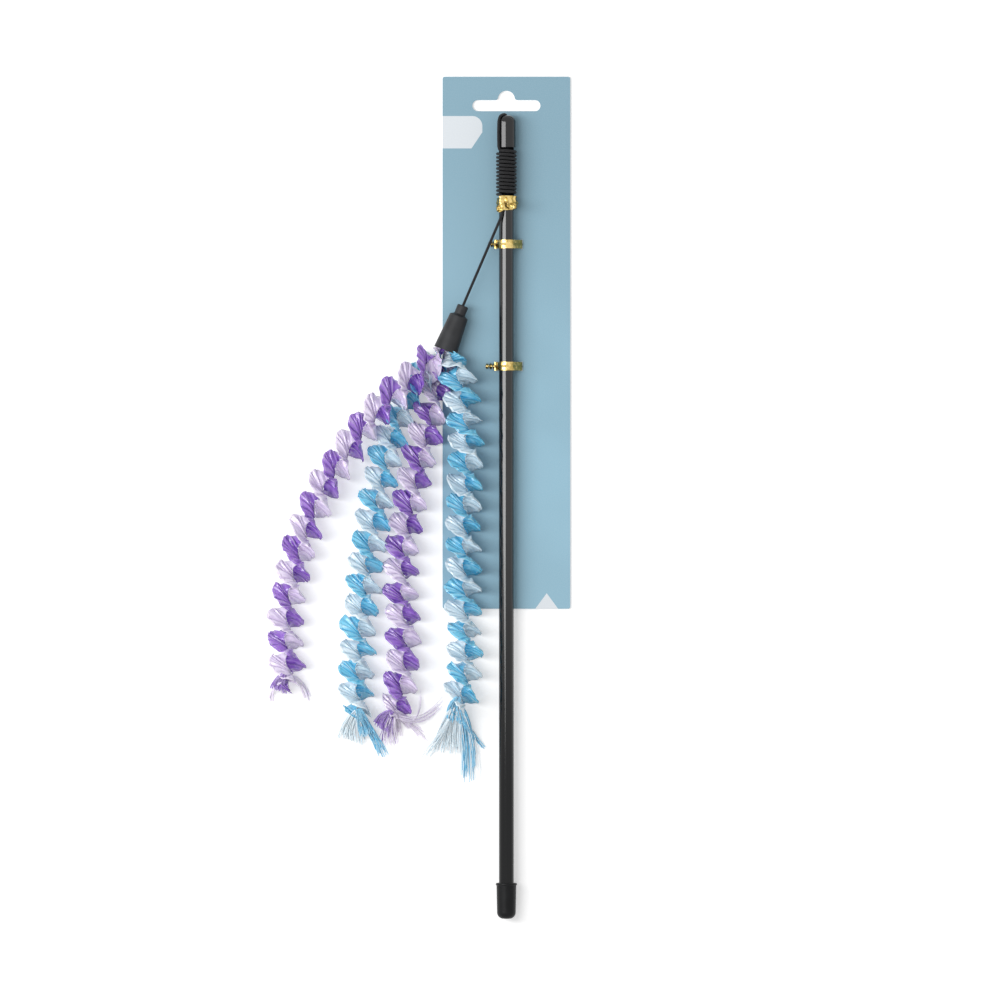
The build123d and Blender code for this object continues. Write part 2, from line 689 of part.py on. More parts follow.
nodes = {"hang_card": hang_card()}
for name, (tie_y, tail_length) in TIE_TAILS.items():
    nodes[f"{name}_foil"], nodes[f"{name}_wire"] = card_tie(tie_y, tail_length)
nodes["top_tie_foil"], nodes["top_tie_wire"] = top_tie()
nodes["rod_tube"] = rod_tube()
nodes["tip_cap"] = tip_cap()
nodes["butt_cap"] = butt_cap()
nodes["tip_knot"] = turned(knot_profile(0), TIP_FLOOR_Y - 2 * FIT)
cord_paths = {}
cord_paths["cord_lead"], nodes["cord_lead"] = cord_lead()
cord_paths["cord_winding"], nodes["cord_winding"] = cord_winding()
cord_paths["cord_tail"], nodes["cord_tail"] = cord_tail()
nodes["cord_free"] = cord_free()
nodes["ferrule_bell"] = ferrule_bell()
nodes["cord_end_knot"] = cord_end()
nodes["glue_plug"] = glue_plug()
for number, strand in STRANDS.items():
    nodes.update(strand_nodes(number, strand))

os.makedirs("parts", exist_ok=True)
for name, solid in nodes.items():
    export_step(solid, f"parts/{name}.step")

print("cord exit", CORD_EXIT, "pivot", PIVOT)
print("mouth", MOUTH, "lift axis y, z", MOUTH.Y - LIFT_AXIS_DROP, LIFT_AXIS_Z)
print("winding's least gap", round(least_gap(cord_paths["cord_winding"]), 3))
for name, path in cord_paths.items():
    bends = sorted({round(edge.radius, 2) for edge in path.edges() if edge.geom_type == GeomType.CIRCLE})
    section_by_length = math.pi * CORD_R**2 * path.length
    print(name, "radii", bends, "volume", round(nodes[name].volume, 2), "of", round(section_by_length, 2))
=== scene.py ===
"""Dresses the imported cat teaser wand: card, rod, cord, foil ties and twisted ribbon tails."""

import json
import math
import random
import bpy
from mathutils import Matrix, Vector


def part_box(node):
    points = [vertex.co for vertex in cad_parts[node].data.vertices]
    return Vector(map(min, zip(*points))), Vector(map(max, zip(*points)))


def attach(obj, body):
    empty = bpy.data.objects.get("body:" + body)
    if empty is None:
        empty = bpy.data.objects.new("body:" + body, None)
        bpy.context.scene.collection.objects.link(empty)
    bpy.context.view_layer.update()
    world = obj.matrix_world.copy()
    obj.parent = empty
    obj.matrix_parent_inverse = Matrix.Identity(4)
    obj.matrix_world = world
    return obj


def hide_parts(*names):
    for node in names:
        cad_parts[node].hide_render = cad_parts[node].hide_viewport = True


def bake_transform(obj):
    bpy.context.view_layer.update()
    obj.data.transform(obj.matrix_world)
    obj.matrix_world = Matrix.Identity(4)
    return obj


bl_info = {
    "name": "Cat Teaser Wand",
    "version": (1, 0, 0),
    "blender": (4, 5, 0),
    "location": "View3D > Sidebar > Teaser Wand",
    "description": "Dresses the packed cat teaser wand: card, rod, cord, foil ties and ribbon tails",
    "category": "Object",
}

import bpy
from bpy.props import FloatProperty, FloatVectorProperty, IntProperty, PointerProperty
from mathutils import Vector, noise

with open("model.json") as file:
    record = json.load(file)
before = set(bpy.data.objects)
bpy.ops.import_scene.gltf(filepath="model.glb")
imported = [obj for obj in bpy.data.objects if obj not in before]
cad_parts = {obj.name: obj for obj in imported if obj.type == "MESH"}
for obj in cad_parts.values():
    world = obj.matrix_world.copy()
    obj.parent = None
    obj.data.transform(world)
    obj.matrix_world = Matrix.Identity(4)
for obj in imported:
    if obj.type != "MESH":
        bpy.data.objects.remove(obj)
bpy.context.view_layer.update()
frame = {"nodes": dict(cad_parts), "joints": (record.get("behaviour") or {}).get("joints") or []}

# Places that come from the frame

MM = 0.001
FULL_TURN = 2 * math.pi
UP = Vector((0, 0, 1))
FORWARD = Vector((0, 1, 0))
LEFT = Vector((-1, 0, 0))
JOINTS = {joint["name"]: Vector(joint["pos_m"]) for joint in frame["joints"]}
CARD_LOW, CARD_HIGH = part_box("hang_card")
ROD_LOW, ROD_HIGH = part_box("rod_tube")
ROD_Z = (ROD_LOW.z + ROD_HIGH.z) / 2
ROD_R = (ROD_HIGH.z - ROD_LOW.z) / 2
CORD_EXIT = JOINTS["cord_swing"]
CORD_END = JOINTS["ferrule_pivot"]
LIFT_Y = JOINTS["strand_1_lift"].y

# Bell, leaning along the free cord
BELL_LEAN = math.radians(21.5)
BELL_WAY = Vector((-math.sin(BELL_LEAN), -math.cos(BELL_LEAN), 0))
BELL_SIDE = Vector((math.cos(BELL_LEAN), -math.sin(BELL_LEAN), 0))
PIVOT_TO_MOUTH = 23.6 * MM
MOUTH = CORD_END + BELL_WAY * PIVOT_TO_MOUTH

# Route of the cord, its points in millimetres and its turns in degrees
CAP_HOLE_POINTS = [(0, -6.85, 6.15), (0, -4.4, 6.15), (-1.6, -4.35, 7.6)]
CAP_SIDE_POINTS = [(-3.3, -5.5, 9.3), (-3.72, -9.2, 9.55), (-3.72, -17.5, 9.55), (-3.5, -20.6, 9.5)]
TAIL_POINTS = [(-2.9, -41.95, 9.7), (-2.29, -42.6, 10.64), (-2.15, -46.5, 10.5)]
WIND_R = 4.25 * MM
WIND_TOP = -21.15 * MM
WIND_PITCH = 1.73 * MM
WIND_START = 10
WIND_JOIN = 48
WIND_END = 4350.57
WIND_POINTS = 16
FREE_SAG = 0.25 * MM
SAG_SHARES = (0.35, 0.7)
NECK_REACH = 0.95 * MM
CORD_SIDES = 12

# Foil ties
TIE_SLIT_LEFT = -4.9 * MM
TIE_SLIT_RIGHT = 7.2 * MM
TIE_TAIL_RISE = 2.0 * MM
TIE_SHOULDER = 1.2 * MM
TOP_TIE_BULGE = Vector((-2.29, 10.64)) * MM
TOP_TIE_BULGE_R = 0.8 * MM

# Twisted tails, in millimetres and degrees. A route's points are right of the mouth, down from it and above
# the table, where they aren't at the height of a tail at rest. A fray is its shade, count and width, the
# start, middle and tip of its yarns right of and down from the cut end, the spread at the start and at the
# tip, and how high it lies on other yarns.
TAILS = {
    1: {
        "dark": "purple",
        "light": "lilac",
        "corner": (-1, 1),
        "pitch": 21.76,
        "twist": -156,
        "seed": 3,
        "route": [
            (-8.5, 6.5, 13.5), (-19.3, 15.4, 16.2), (-33.5, 30, 14.5), (-41.9, 41.7, 11.5),
            (-50.9, 53.5, 9.6), (-58.4, 65.2), (-64, 79.3), (-68.7, 92.5), (-72, 105.2), (-74.4, 119.3),
            (-75.4, 135.7), (-74.6, 147.5), (-73.4, 158.2),
        ],
        "frays": [
            ("light", 4, 1.5, (-0.6, -5.3), (5.5, -1.7), (9.4, 9), 1.5, 3.2, 0),
            ("light", 3, 1.3, (-3.6, -3.4), (-7.3, 0.8), (-8.6, 7), 1, 2, 0),
            ("dark", 30, 0.8, (-2.2, -6.4), (-4.6, -2.4), (-5, 2), 2, 8, 6),
            ("light", 10, 0.6, (-1, -5), (-1.9, -1), (-2.2, 3.4), 2, 5, 0),
        ],
    },
    2: {
        "dark": "blue",
        "light": "pale_blue",
        "corner": (-1, -1),
        "pitch": 20.22,
        "twist": -78,
        "seed": 11,
        "route": [
            (-5.5, 7.6, 5.6), (-15.6, 17, 5.4), (-21.7, 27.6, 6.6), (-26.4, 41.7, 8.2), (-29.7, 55.8),
            (-32.5, 69.9), (-34.9, 84), (-37.7, 98.1), (-38.6, 112.2), (-40.5, 126.3),
            (-41.4, 140.4), (-42.1, 154.5), (-41.8, 165), (-41.4, 172),
        ],
        "frays": [
            ("light", 44, 0.6, (-0.4, -3), (-4, 4.4), (-4.6, 11.4), 2, 9.5, 0),
            ("light", 12, 0.6, (0, 0), (1.4, 7), (2.2, 13.6), 2, 4, 0),
            ("dark", 34, 0.65, (0.6, -4), (3, 2.8), (4.6, 9), 2, 8, 4),
            ("dark", 20, 0.55, (1.6, -1), (7.4, 8.6), (12.2, 19.2), 2, 4.6, 0),
        ],
    },
    3: {
        "dark": "purple",
        "light": "lilac",
        "corner": (1, -1),
        "pitch": 21.44,
        "twist": -67,
        "seed": 23,
        "route": [
            (-0.6, 8.5, 5.8), (-4.3, 18.2, 6), (-7.6, 30, 7.2), (-10.4, 41.7, 8.3), (-13.7, 55.8),
            (-16.1, 69.9), (-18.9, 84), (-20.8, 98.1), (-20.8, 112.2), (-19.8, 126.3),
            (-19.4, 140.4), (-20.8, 154.5), (-22.6, 165), (-24.2, 172),
        ],
        "frays": [
            ("dark", 40, 0.65, (-0.9, -3), (-4.8, 0.8), (-6.2, 6.4), 2, 8.5, 4),
            ("light", 30, 0.6, (0, -3), (0.6, 3), (0.6, 9.4), 2, 7, 0),
            ("light", 22, 0.5, (0.4, -3), (5, 1.2), (8.8, 4.4), 2, 5.4, 0),
            ("dark", 12, 0.45, (-1.4, 0), (-2.8, 6.6), (-3, 13), 3, 8.5, 0),
            ("light", 18, 0.45, (-0.8, 0), (-2, 6.6), (-1.6, 14), 3, 8.5, 0),
            ("light", 11, 0.42, (0.4, -1.5), (12.4, 1), (23.4, -7.6), 2, 4.4, 0),
            ("light", 7, 0.42, (0.4, -1.5), (8.4, 4.6), (15.4, 12.6), 2, 2.6, 0),
            ("light", 4, 0.42, (0.4, -1.5), (8, 3), (15.2, 7.4), 1.4, 1.6, 0),
            ("light", 3, 0.36, (9, 1.4), (12.2, -4.6), (10.9, -14.2), 0.8, 1, 0),
        ],
    },
    4: {
        "dark": "blue",
        "light": "pale_blue",
        "corner": (1, 1),
        "pitch": 19.73,
        "twist": -113,
        "seed": 37,
        "route": [
            (2.8, 3.6, 11), (5.6, 11, 13.6), (7.2, 22.9, 13), (9.4, 37, 11.2), (9.8, 51.1, 9.9),
            (8.8, 65.2, 9.7), (8.1, 79.3, 9.7), (8.2, 93.4, 9.7), (8.2, 107.5, 9.7), (8.5, 121, 9.2),
            (8.9, 133.4), (9.2, 147.5), (8.2, 159.2), (5, 169),
        ],
        "frays": [
            ("light", 96, 0.5, (0, -3), (-2.6, 8.4), (-4, 20.8), 3, 15.5, 0),
            ("light", 7, 0.45, (-3, 4), (-9.6, 15), (-15.4, 23.4), 1.6, 5, 0),
            ("dark", 44, 0.65, (1, -6.6), (-0.8, -0.8), (-0.8, 6), 2, 9, 6),
            ("dark", 34, 0.5, (1.6, -2), (5.4, 12), (5.8, 34), 3, 7, 0),
            ("light", 12, 0.42, (2, 0), (5.6, 14), (6.8, 33.6), 2, 10.5, 0),
            ("dark", 8, 0.5, (3, 5), (8.6, 12), (13.5, 18.6), 1.8, 1.8, 0),
        ],
    },
}
TINTS = ("purple", "lilac", "blue", "pale_blue")
REST_HEIGHT = 8.9
ROUTE_RESOLUTION = 8
ROOT_INSIDE = 4 * MM
ROOT_SPREAD = 1.9 * MM
ROWS_PER_PLEAT = 10
RIBBON_COLUMNS = 11
THREAD_SIDES = 8
THREAD_STEP = 0.6 * MM
YARN_FLATNESS = 0.14


def srgb(red, green, blue):
    """Colour given as on screen, from 0 to 255, as Blender's linear values."""
    shares = [level / 255 for level in (red, green, blue)]
    return tuple(s / 12.92 if s <= 0.04045 else ((s + 0.055) / 1.055) ** 2.4 for s in shares)


def shaded(tint, share):
    """Colour made darker or paler by a share."""
    return [min(level * share, 1) for level in tint]


def whitened(tint, share):
    """Colour carried a share of the way to white."""
    return [level + (1 - level) * share for level in tint]


def millimetres(points):
    """Points written in millimetres as vectors in metres."""
    return [Vector(point) * MM for point in points]


# Settings

def colour(name, description, *levels):
    """Colour setting with an on-screen default."""
    return FloatVectorProperty(
        name=name, description=description, subtype="COLOR", size=3, min=0, max=1, default=srgb(*levels)
    )


def length(name, description, default):
    """Length setting with a default in millimetres."""
    return FloatProperty(name=name, description=description, default=default * MM, min=0, unit="LENGTH")


class WandColours(bpy.types.PropertyGroup):
    """Colours of the wand's finishes."""

    card: colour("Card", "Matte blue face of the card", 143, 184, 203)
    card_plain: colour("Card Plain", "Unprinted board of the card", 222, 228, 233)
    plastic: colour("Plastic", "Black of the rod, caps and bell", 30, 31, 33)
    cord: colour("Cord", "Black elastic cord", 44, 44, 47)
    gold: colour("Gold Foil", "Metal foil of the ties", 240, 212, 140)
    purple: colour("Purple", "Dark ribbon of the first and third tail", 142, 94, 198)
    lilac: colour("Lilac", "Light ribbon of the first and third tail", 239, 225, 252)
    blue: colour("Blue", "Dark ribbon of the second and fourth tail", 108, 199, 236)
    pale_blue: colour("Pale Blue", "Light ribbon of the second and fourth tail", 219, 240, 251)


class WandSizes(bpy.types.PropertyGroup):
    """Sizes of the wand's soft and folded pieces."""

    cord_diameter: length("Cord Diameter", "Thickness of the elastic cord", 1.3)
    foil_width: length("Foil Width", "Width of a tie's strip", 4.0)
    foil_thickness: length("Foil Thickness", "Thickness of a tie's strip beside its wire", 0.22)
    foil_ridge: length("Foil Ridge", "Height of the ridge over a tie's wire", 0.2)
    ribbon_radius: length("Ribbon Radius", "Reach of a ribbon from its thread", 8.5)
    ribbon_thickness: length("Ribbon Thickness", "Thickness of the satin", 0.14)
    pleat_depth: length("Pleat Depth", "Depth of the gathered pleats", 0.58)
    thread_diameter: length("Thread Diameter", "Thickness of the gathering thread", 0.25)
    pleats: IntProperty(name="Pleats", description="Pleats in one turn of a ribbon", default=12, min=1)


# Node trees

class Field:
    """Number, vector or colour in a node tree, on which sums read as sums."""

    def __init__(self, maker, socket):
        self.maker = maker
        self.socket = socket

    def __add__(self, other):
        return self.maker.math("ADD", self, other)

    def __sub__(self, other):
        return self.maker.math("SUBTRACT", self, other)

    def __rsub__(self, other):
        return self.maker.math("SUBTRACT", other, self)

    def __mul__(self, other):
        if self.socket.type == "VECTOR":
            feeds = {"Vector": self, "Scale": other}
            return self.maker.field("ShaderNodeVectorMath", feeds, operation="SCALE")
        return self.maker.math("MULTIPLY", self, other)

    def __gt__(self, other):
        return self.maker.math("GREATER_THAN", self, other)

    def __lt__(self, other):
        return self.maker.math("LESS_THAN", self, other)

    def sine(self):
        """Sine of an angle."""
        return self.maker.math("SINE", self)

    def cosine(self):
        """Cosine of an angle."""
        return self.maker.math("COSINE", self)

    def part(self, index):
        """One part of a vector."""
        return self.maker.field("ShaderNodeSeparateXYZ", {"Vector": self}, index)

    def ramp(self, start, end, low=0.0, high=1.0):
        """Value carried smoothly from one range to another."""
        feeds = {"Value": self, "From Min": start, "From Max": end, "To Min": low, "To Max": high}
        return self.maker.field("ShaderNodeMapRange", feeds, interpolation_type="SMOOTHSTEP")


class NodeMaker:
    """Adds nodes to one tree and joins what they are fed."""

    def __init__(self, tree):
        self.tree = tree

    def add(self, kind, feeds=None, **settings):
        """Node of a kind, with its settings and what its inputs are fed."""
        node = self.tree.nodes.new(kind)
        for name, value in settings.items():
            setattr(node, name, value)
        for name, value in (feeds or {}).items():
            socket = next(s for s in node.inputs if s.name == name and s.enabled)
            self.feed(socket, value)
        return node

    def feed(self, socket, value):
        """Joins a socket to another or gives it a plain value."""
        if isinstance(value, bpy.types.Node):
            value = next(out for out in value.outputs if out.enabled)
        if isinstance(value, Field):
            value = value.socket
        if isinstance(value, bpy.types.NodeSocket):
            self.tree.links.new(value, socket)
        else:
            socket.default_value = value

    def field(self, kind, feeds=None, output=0, **settings):
        """What one output of a new node gives."""
        return Field(self, self.add(kind, feeds, **settings).outputs[output])

    def math(self, operation, *values):
        """Result of a sum on numbers, or on vectors where one is among the values."""
        vectors = any(isinstance(value, Field) and value.socket.type == "VECTOR" for value in values)
        node = self.add("ShaderNodeVectorMath" if vectors else "ShaderNodeMath", operation=operation)
        for socket, value in zip(node.inputs, values):
            self.feed(socket, value)
        return Field(self, next(out for out in node.outputs if out.enabled))

    def line_noise(self, place, scale, seed):
        """Noise along a line, from 0 to 1."""
        feeds = {"W": place * scale + seed, "Scale": 1.0, "Detail": 1.0}
        return self.field("ShaderNodeTexNoise", feeds, noise_dimensions="1D")

    def mix(self, factor, first, second):
        """Colour between two colours."""
        node = self.add("ShaderNodeMix", data_type="RGBA")
        self.feed(node.inputs[0], factor)
        for socket, value in zip(node.inputs[6:8], (first, second)):
            self.feed(socket, value if isinstance(value, Field) else (*value[:3], 1))
        return Field(self, node.outputs[2])


def grow_tree(name, **labels):
    """Geometry tree with named inputs of each kind, its maker and the inputs' fields."""
    tree = bpy.data.node_groups.new(name, "GeometryNodeTree")
    tree.interface.new_socket(name="Geometry", in_out="OUTPUT", socket_type="NodeSocketGeometry")
    for kind, group in labels.items():
        for label in group:
            tree.interface.new_socket(name=label, in_out="INPUT", socket_type="NodeSocket" + kind)
    maker = NodeMaker(tree)
    entry = maker.add("NodeGroupInput")
    return tree, maker, {socket.name: Field(maker, socket) for socket in entry.outputs if socket.name}


def end_tree(maker, geometry, material):
    """Closes a tree: realised, smooth and with its material."""
    whole = maker.add("GeometryNodeRealizeInstances", {"Geometry": geometry})
    smooth = maker.add("GeometryNodeSetShadeSmooth", {"Geometry": whole})
    dressed = maker.add("GeometryNodeSetMaterial", {"Geometry": smooth, "Material": material})
    maker.add("NodeGroupOutput", {"Geometry": dressed})


def line_of(maker, guide):
    """Line of a guide object."""
    return maker.field("GeometryNodeObjectInfo", {"Object": guide}, "Geometry")


def stored(maker, geometry, name, value):
    """Geometry that keeps a number for its material."""
    feeds = {"Geometry": geometry, "Name": name, "Value": value}
    return maker.add("GeometryNodeStoreNamedAttribute", feeds, data_type="FLOAT", domain="POINT")


def placed(name, data):
    """New object with its data, put into the scene."""
    piece = bpy.data.objects.new(name, data)
    bpy.context.scene.collection.objects.link(piece)
    return piece


def final_mesh(piece):
    """Plain mesh of a piece as its modifiers or its spline make it."""
    bpy.context.view_layer.update()
    return bpy.data.meshes.new_from_object(piece.evaluated_get(bpy.context.evaluated_depsgraph_get()))


def grown_piece(name, tree, values, thickness=0.0):
    """Plain mesh that a tree grows, with a wall where one is asked for."""
    piece = placed(name, bpy.data.meshes.new(name))
    grow = piece.modifiers.new("Grow", "NODES")
    grow.node_group = tree
    for socket in tree.interface.items_tree:
        if socket.name in values:
            grow[socket.identifier] = values[socket.name]
    if thickness:
        wall = piece.modifiers.new("Wall", "SOLIDIFY")
        wall.thickness = thickness
        wall.offset = 0
    mesh = final_mesh(piece)
    piece.modifiers.clear()
    piece.data = mesh
    mesh.name = name
    return piece


def guide_lines(name, kind, runs):
    """Guide object with a spline for each run. A run is its points and their widths."""
    curve = bpy.data.curves.new(name, "CURVE")
    curve.dimensions = "3D"
    for points, widths in runs:
        spline = curve.splines.new(kind)
        spline.points.add(len(points) - 1)
        for control, point, width in zip(spline.points, points, widths):
            control.co = (*point, 1)
            control.radius = width
        if kind == "NURBS":
            spline.order_u = 3
            spline.use_endpoint_u = True
            spline.resolution_u = ROUTE_RESOLUTION
    return placed(name, curve)


def route_line(name, points):
    """Smooth open line with the points as its control points."""
    return guide_lines(name, "NURBS", [(points, [1.0] * len(points))])


def line_points(line):
    """Points along a line, as the spline gives them."""
    mesh = final_mesh(line)
    points = [vertex.co.copy() for vertex in mesh.vertices]
    bpy.data.meshes.remove(mesh)
    return points


def line_length(points):
    """Length of a line given by its points."""
    return sum((b - a).length for a, b in zip(points, points[1:]))


def remove_line(line):
    """Takes a guide line out of the scene."""
    curve = line.data
    bpy.data.objects.remove(line)
    bpy.data.curves.remove(curve)


# Finishes

class Finish(NodeMaker):
    """Material in the making, with its shader."""

    def __init__(self, name, **sockets):
        self.material = bpy.data.materials.new(name)
        self.material.use_nodes = True
        super().__init__(self.material.node_tree)
        for label, value in sockets.items():
            self.set(label.replace("_", " "), value)

    def set(self, label, value):
        """Gives a socket of the shader a plain value or a field."""
        self.feed(self.tree.nodes["Principled BSDF"].inputs[label], value)

    def attribute(self, name):
        """Number stored on the piece."""
        return self.field("ShaderNodeAttribute", output="Fac", attribute_name=name)

    def place(self):
        """Place on the piece."""
        return self.field("ShaderNodeTexCoord", output="Object")

    def facing(self):
        """How far the surface faces up."""
        return self.field("ShaderNodeTexCoord", output="Normal").part(2)

    def grain(self, scale, detail=2.0, stretch=(1, 1, 1)):
        """Noise fixed to the piece."""
        stretched = self.math("MULTIPLY", self.place(), stretch)
        return self.field("ShaderNodeTexNoise", {"Vector": stretched, "Scale": scale, "Detail": detail})

    def bump(self, height, depth, strength):
        """Relief of a depth in millimetres."""
        feeds = {"Height": height, "Strength": strength, "Distance": depth * MM}
        self.set("Normal", self.add("ShaderNodeBump", feeds))


def paper_finish(blue, plain):
    """Matte printed board: blue face and edges with two bare places, plain back, and painted shade that
    darkens the face towards its top edge.
    """
    tab_right = -11.3 * MM
    tab_top = -4.9 * MM
    tab_low = -20.1 * MM
    tab_round = 4.7 * MM
    chamfer_start = Vector((-11.3, -12.5)) * MM
    chamfer_end = Vector((-16.4, -20.1)) * MM
    peak = Vector((18.95, -229.1)) * MM
    peak_slope = 0.735
    back_level = -0.5
    # Where the painted shade towards the top edge begins and where it is full
    top_shade_start = -160 * MM
    top_shade_full = -5 * MM
    finish = Finish("card_paper", Roughness=0.62)
    x = finish.place().part(0)
    y = finish.place().part(1)
    over_x = finish.math("MAXIMUM", x - (tab_right - tab_round), 0)
    over_y = finish.math("MAXIMUM", y - (tab_top - tab_round), 0)
    corner = finish.math("SQRT", over_x * over_x + over_y * over_y)
    cut = chamfer_end - chamfer_start
    past_cut = (x - chamfer_start.x) * -cut.y + (y - chamfer_start.y) * cut.x
    tab = (corner < tab_round) * (y > tab_low) * (past_cut < 0)
    triangle = finish.math("ABSOLUTE", x - peak.x) < (peak.y - y) * peak_slope
    printed = (finish.facing() > back_level) * (1 - finish.math("MAXIMUM", tab, triangle))
    cloud = finish.grain(22).ramp(0.3, 0.7)
    grain = finish.grain(2600, 1.0)
    ink = finish.mix(cloud, shaded(blue, 0.955), shaded(blue, 1.03))
    # Painted shade: the blue darkens towards the card's top edge
    ink = finish.mix(y.ramp(top_shade_start, top_shade_full), ink, shaded(blue, 0.8))
    ink = finish.mix(grain.ramp(0.35, 0.75, 0.0, 0.1), ink, plain)
    board = finish.mix(grain.ramp(0.2, 0.8), shaded(plain, 0.94), plain)
    finish.set("Base Color", finish.mix(printed, board, ink))
    finish.bump(grain, 0.02, 0.5)
    return finish.material


def rod_finish(black):
    """Glossy tube with faint lengthwise drawing marks. Painted shade: its gloss is taken off under the
    winding and lowered towards its butt.
    """
    covered_low = -44 * MM
    covered_high = -18.5 * MM
    dull_start = -180 * MM
    dull_end = -330 * MM
    finish = Finish("rod_gloss", Coat_Roughness=0.05)
    y = finish.place().part(1)
    # Painted shade: no coat or specular under the winding, and less specular towards the butt
    bare = 1 - (y < covered_high) * (y > covered_low)
    finish.set("Coat Weight", bare * 0.25)
    finish.set("Specular IOR Level", bare * y.ramp(dull_end, dull_start, 0.14, 0.5))
    drawn = finish.grain(900, stretch=(1, 0.01, 1))
    finish.set("Base Color", finish.mix(drawn.ramp(0.3, 0.7), shaded(black, 0.2), shaded(black, 0.5)))
    finish.set("Roughness", drawn.ramp(0.2, 0.8, 0.08, 0.14))
    finish.bump(drawn, 0.01, 0.35)
    return finish.material


def moulded_finish(name, black, roughness, lift, gloss):
    """Moulded plastic with a fine spark texture."""
    finish = Finish(name, Specular_IOR_Level=gloss)
    grain = finish.grain(2300, 3.0)
    patch = finish.grain(180).ramp(0.3, 0.7)
    finish.set("Base Color", finish.mix(patch, black, shaded(black, lift)))
    finish.set("Roughness", grain.ramp(0.2, 0.8, roughness - 0.05, roughness + 0.07))
    finish.bump(grain, 0.03, roughness)
    return finish.material


def cord_finish(black):
    """Braided elastic: two sets of yarns that cross round the cord, with painted highlight on their crests
    and painted shade between them.
    """
    yarns_around = 8
    yarns_along = 1150
    finish = Finish("cord_braid", Roughness=0.5, Sheen_Weight=0.06, Specular_IOR_Level=0.3)
    around = finish.attribute("around") * (FULL_TURN * yarns_around)
    along = finish.attribute("along") * (FULL_TURN * yarns_along)
    weave = finish.math("MAXIMUM", (along + around).sine(), (along - around).sine())
    # Painted highlight and shade: the weave's crests are paler and the grooves between the yarns darker
    shade = weave.ramp(-0.5, 1.0)
    finish.set("Base Color", finish.mix(shade, shaded(black, 0.1), shaded(black, 0.6)))
    finish.bump(weave, 0.12, 0.8)
    return finish.material


def foil_finish(gold):
    """Crinkled gold foil, with painted shade where it turns away from above and random darker patches
    painted in for its dark reflections.
    """
    finish = Finish("tie_foil")
    crinkle = finish.grain(1500, 3.0)
    # Random darker patches, painted in for the dark reflections of the crinkles
    dark_patches = finish.grain(500).ramp(0.35, 0.65)
    painted_dark = [level * share for level, share in zip(gold, (0.55, 0.5, 0.3))]
    # Painted shade: the sides that turn away from above are dark and less metallic
    side_shade = [level * share for level, share in zip(gold, (0.2, 0.2, 0.12))]
    upward = finish.facing()
    leaf = finish.mix(dark_patches.ramp(0, 1, 0, 0.8), gold, painted_dark)
    finish.set("Base Color", finish.mix(upward.ramp(0.2, 0.95), side_shade, leaf))
    finish.set("Metallic", upward.ramp(0.0, 0.3))
    finish.set("Specular IOR Level", upward.ramp(0.0, 0.3, 0.0, 0.5))
    finish.set("Roughness", crinkle.ramp(0.3, 0.7, 0.14, 0.32))
    finish.bump(crinkle, 0.12, 0.5)
    return finish.material


def mottled_finish(name, dark, pale, scale, relief=0.0, stretch=(1, 1, 1), **sockets):
    """Finish with soft patches of two colours, the pale ones raised where there is relief."""
    finish = Finish(name, **sockets)
    patch = finish.grain(scale, stretch=stretch).ramp(0.3, 0.7)
    finish.set("Base Color", finish.mix(patch, dark, pale))
    if relief:
        finish.bump(patch, relief, 0.4)
    return finish.material


def steel_finish():
    """Bright drawn wire."""
    dark = (0.42, 0.43, 0.45)
    pale = (0.62, 0.63, 0.65)
    return mottled_finish("tie_wire", dark, pale, 3000, Roughness=0.3, Metallic=1.0)


def glue_finish():
    """Set hot glue, milky and uneven."""
    dark = (0.72, 0.7, 0.66)
    pale = (0.86, 0.85, 0.82)
    return mottled_finish("glue_set", dark, pale, 400, 0.2, Roughness=0.25, Transmission_Weight=0.35)


def yarn_finish(name, tint):
    """Loose satin yarn of a frayed end, brighter where the ribbon is pale."""
    pale = min(tint)
    low = [level ** (1.2 - 0.3 * pale) for level in tint]
    high = whitened(tint, 0.28 + 0.4 * pale)
    sheen = 0.2 + 0.2 * pale
    return mottled_finish(name, low, high, 1800, 0.08, (1, 0.15, 1), Roughness=0.4, Sheen_Weight=sheen)


def thread_finish():
    """White sewing thread, two plies twisted, with painted shade in the grooves of the twist."""
    plies = 2
    turns = 900
    finish = Finish("thread_twist", Roughness=0.55)
    around = finish.attribute("around") * (FULL_TURN * plies)
    twist = (around + finish.attribute("along") * (FULL_TURN * turns)).sine()
    # Painted shade: the grooves of the twist are grey and its crests paler
    finish.set("Base Color", finish.mix(twist.ramp(-1, 1), (0.5, 0.5, 0.53), (0.8, 0.8, 0.82)))
    finish.bump(twist, 0.08, 0.7)
    return finish.material


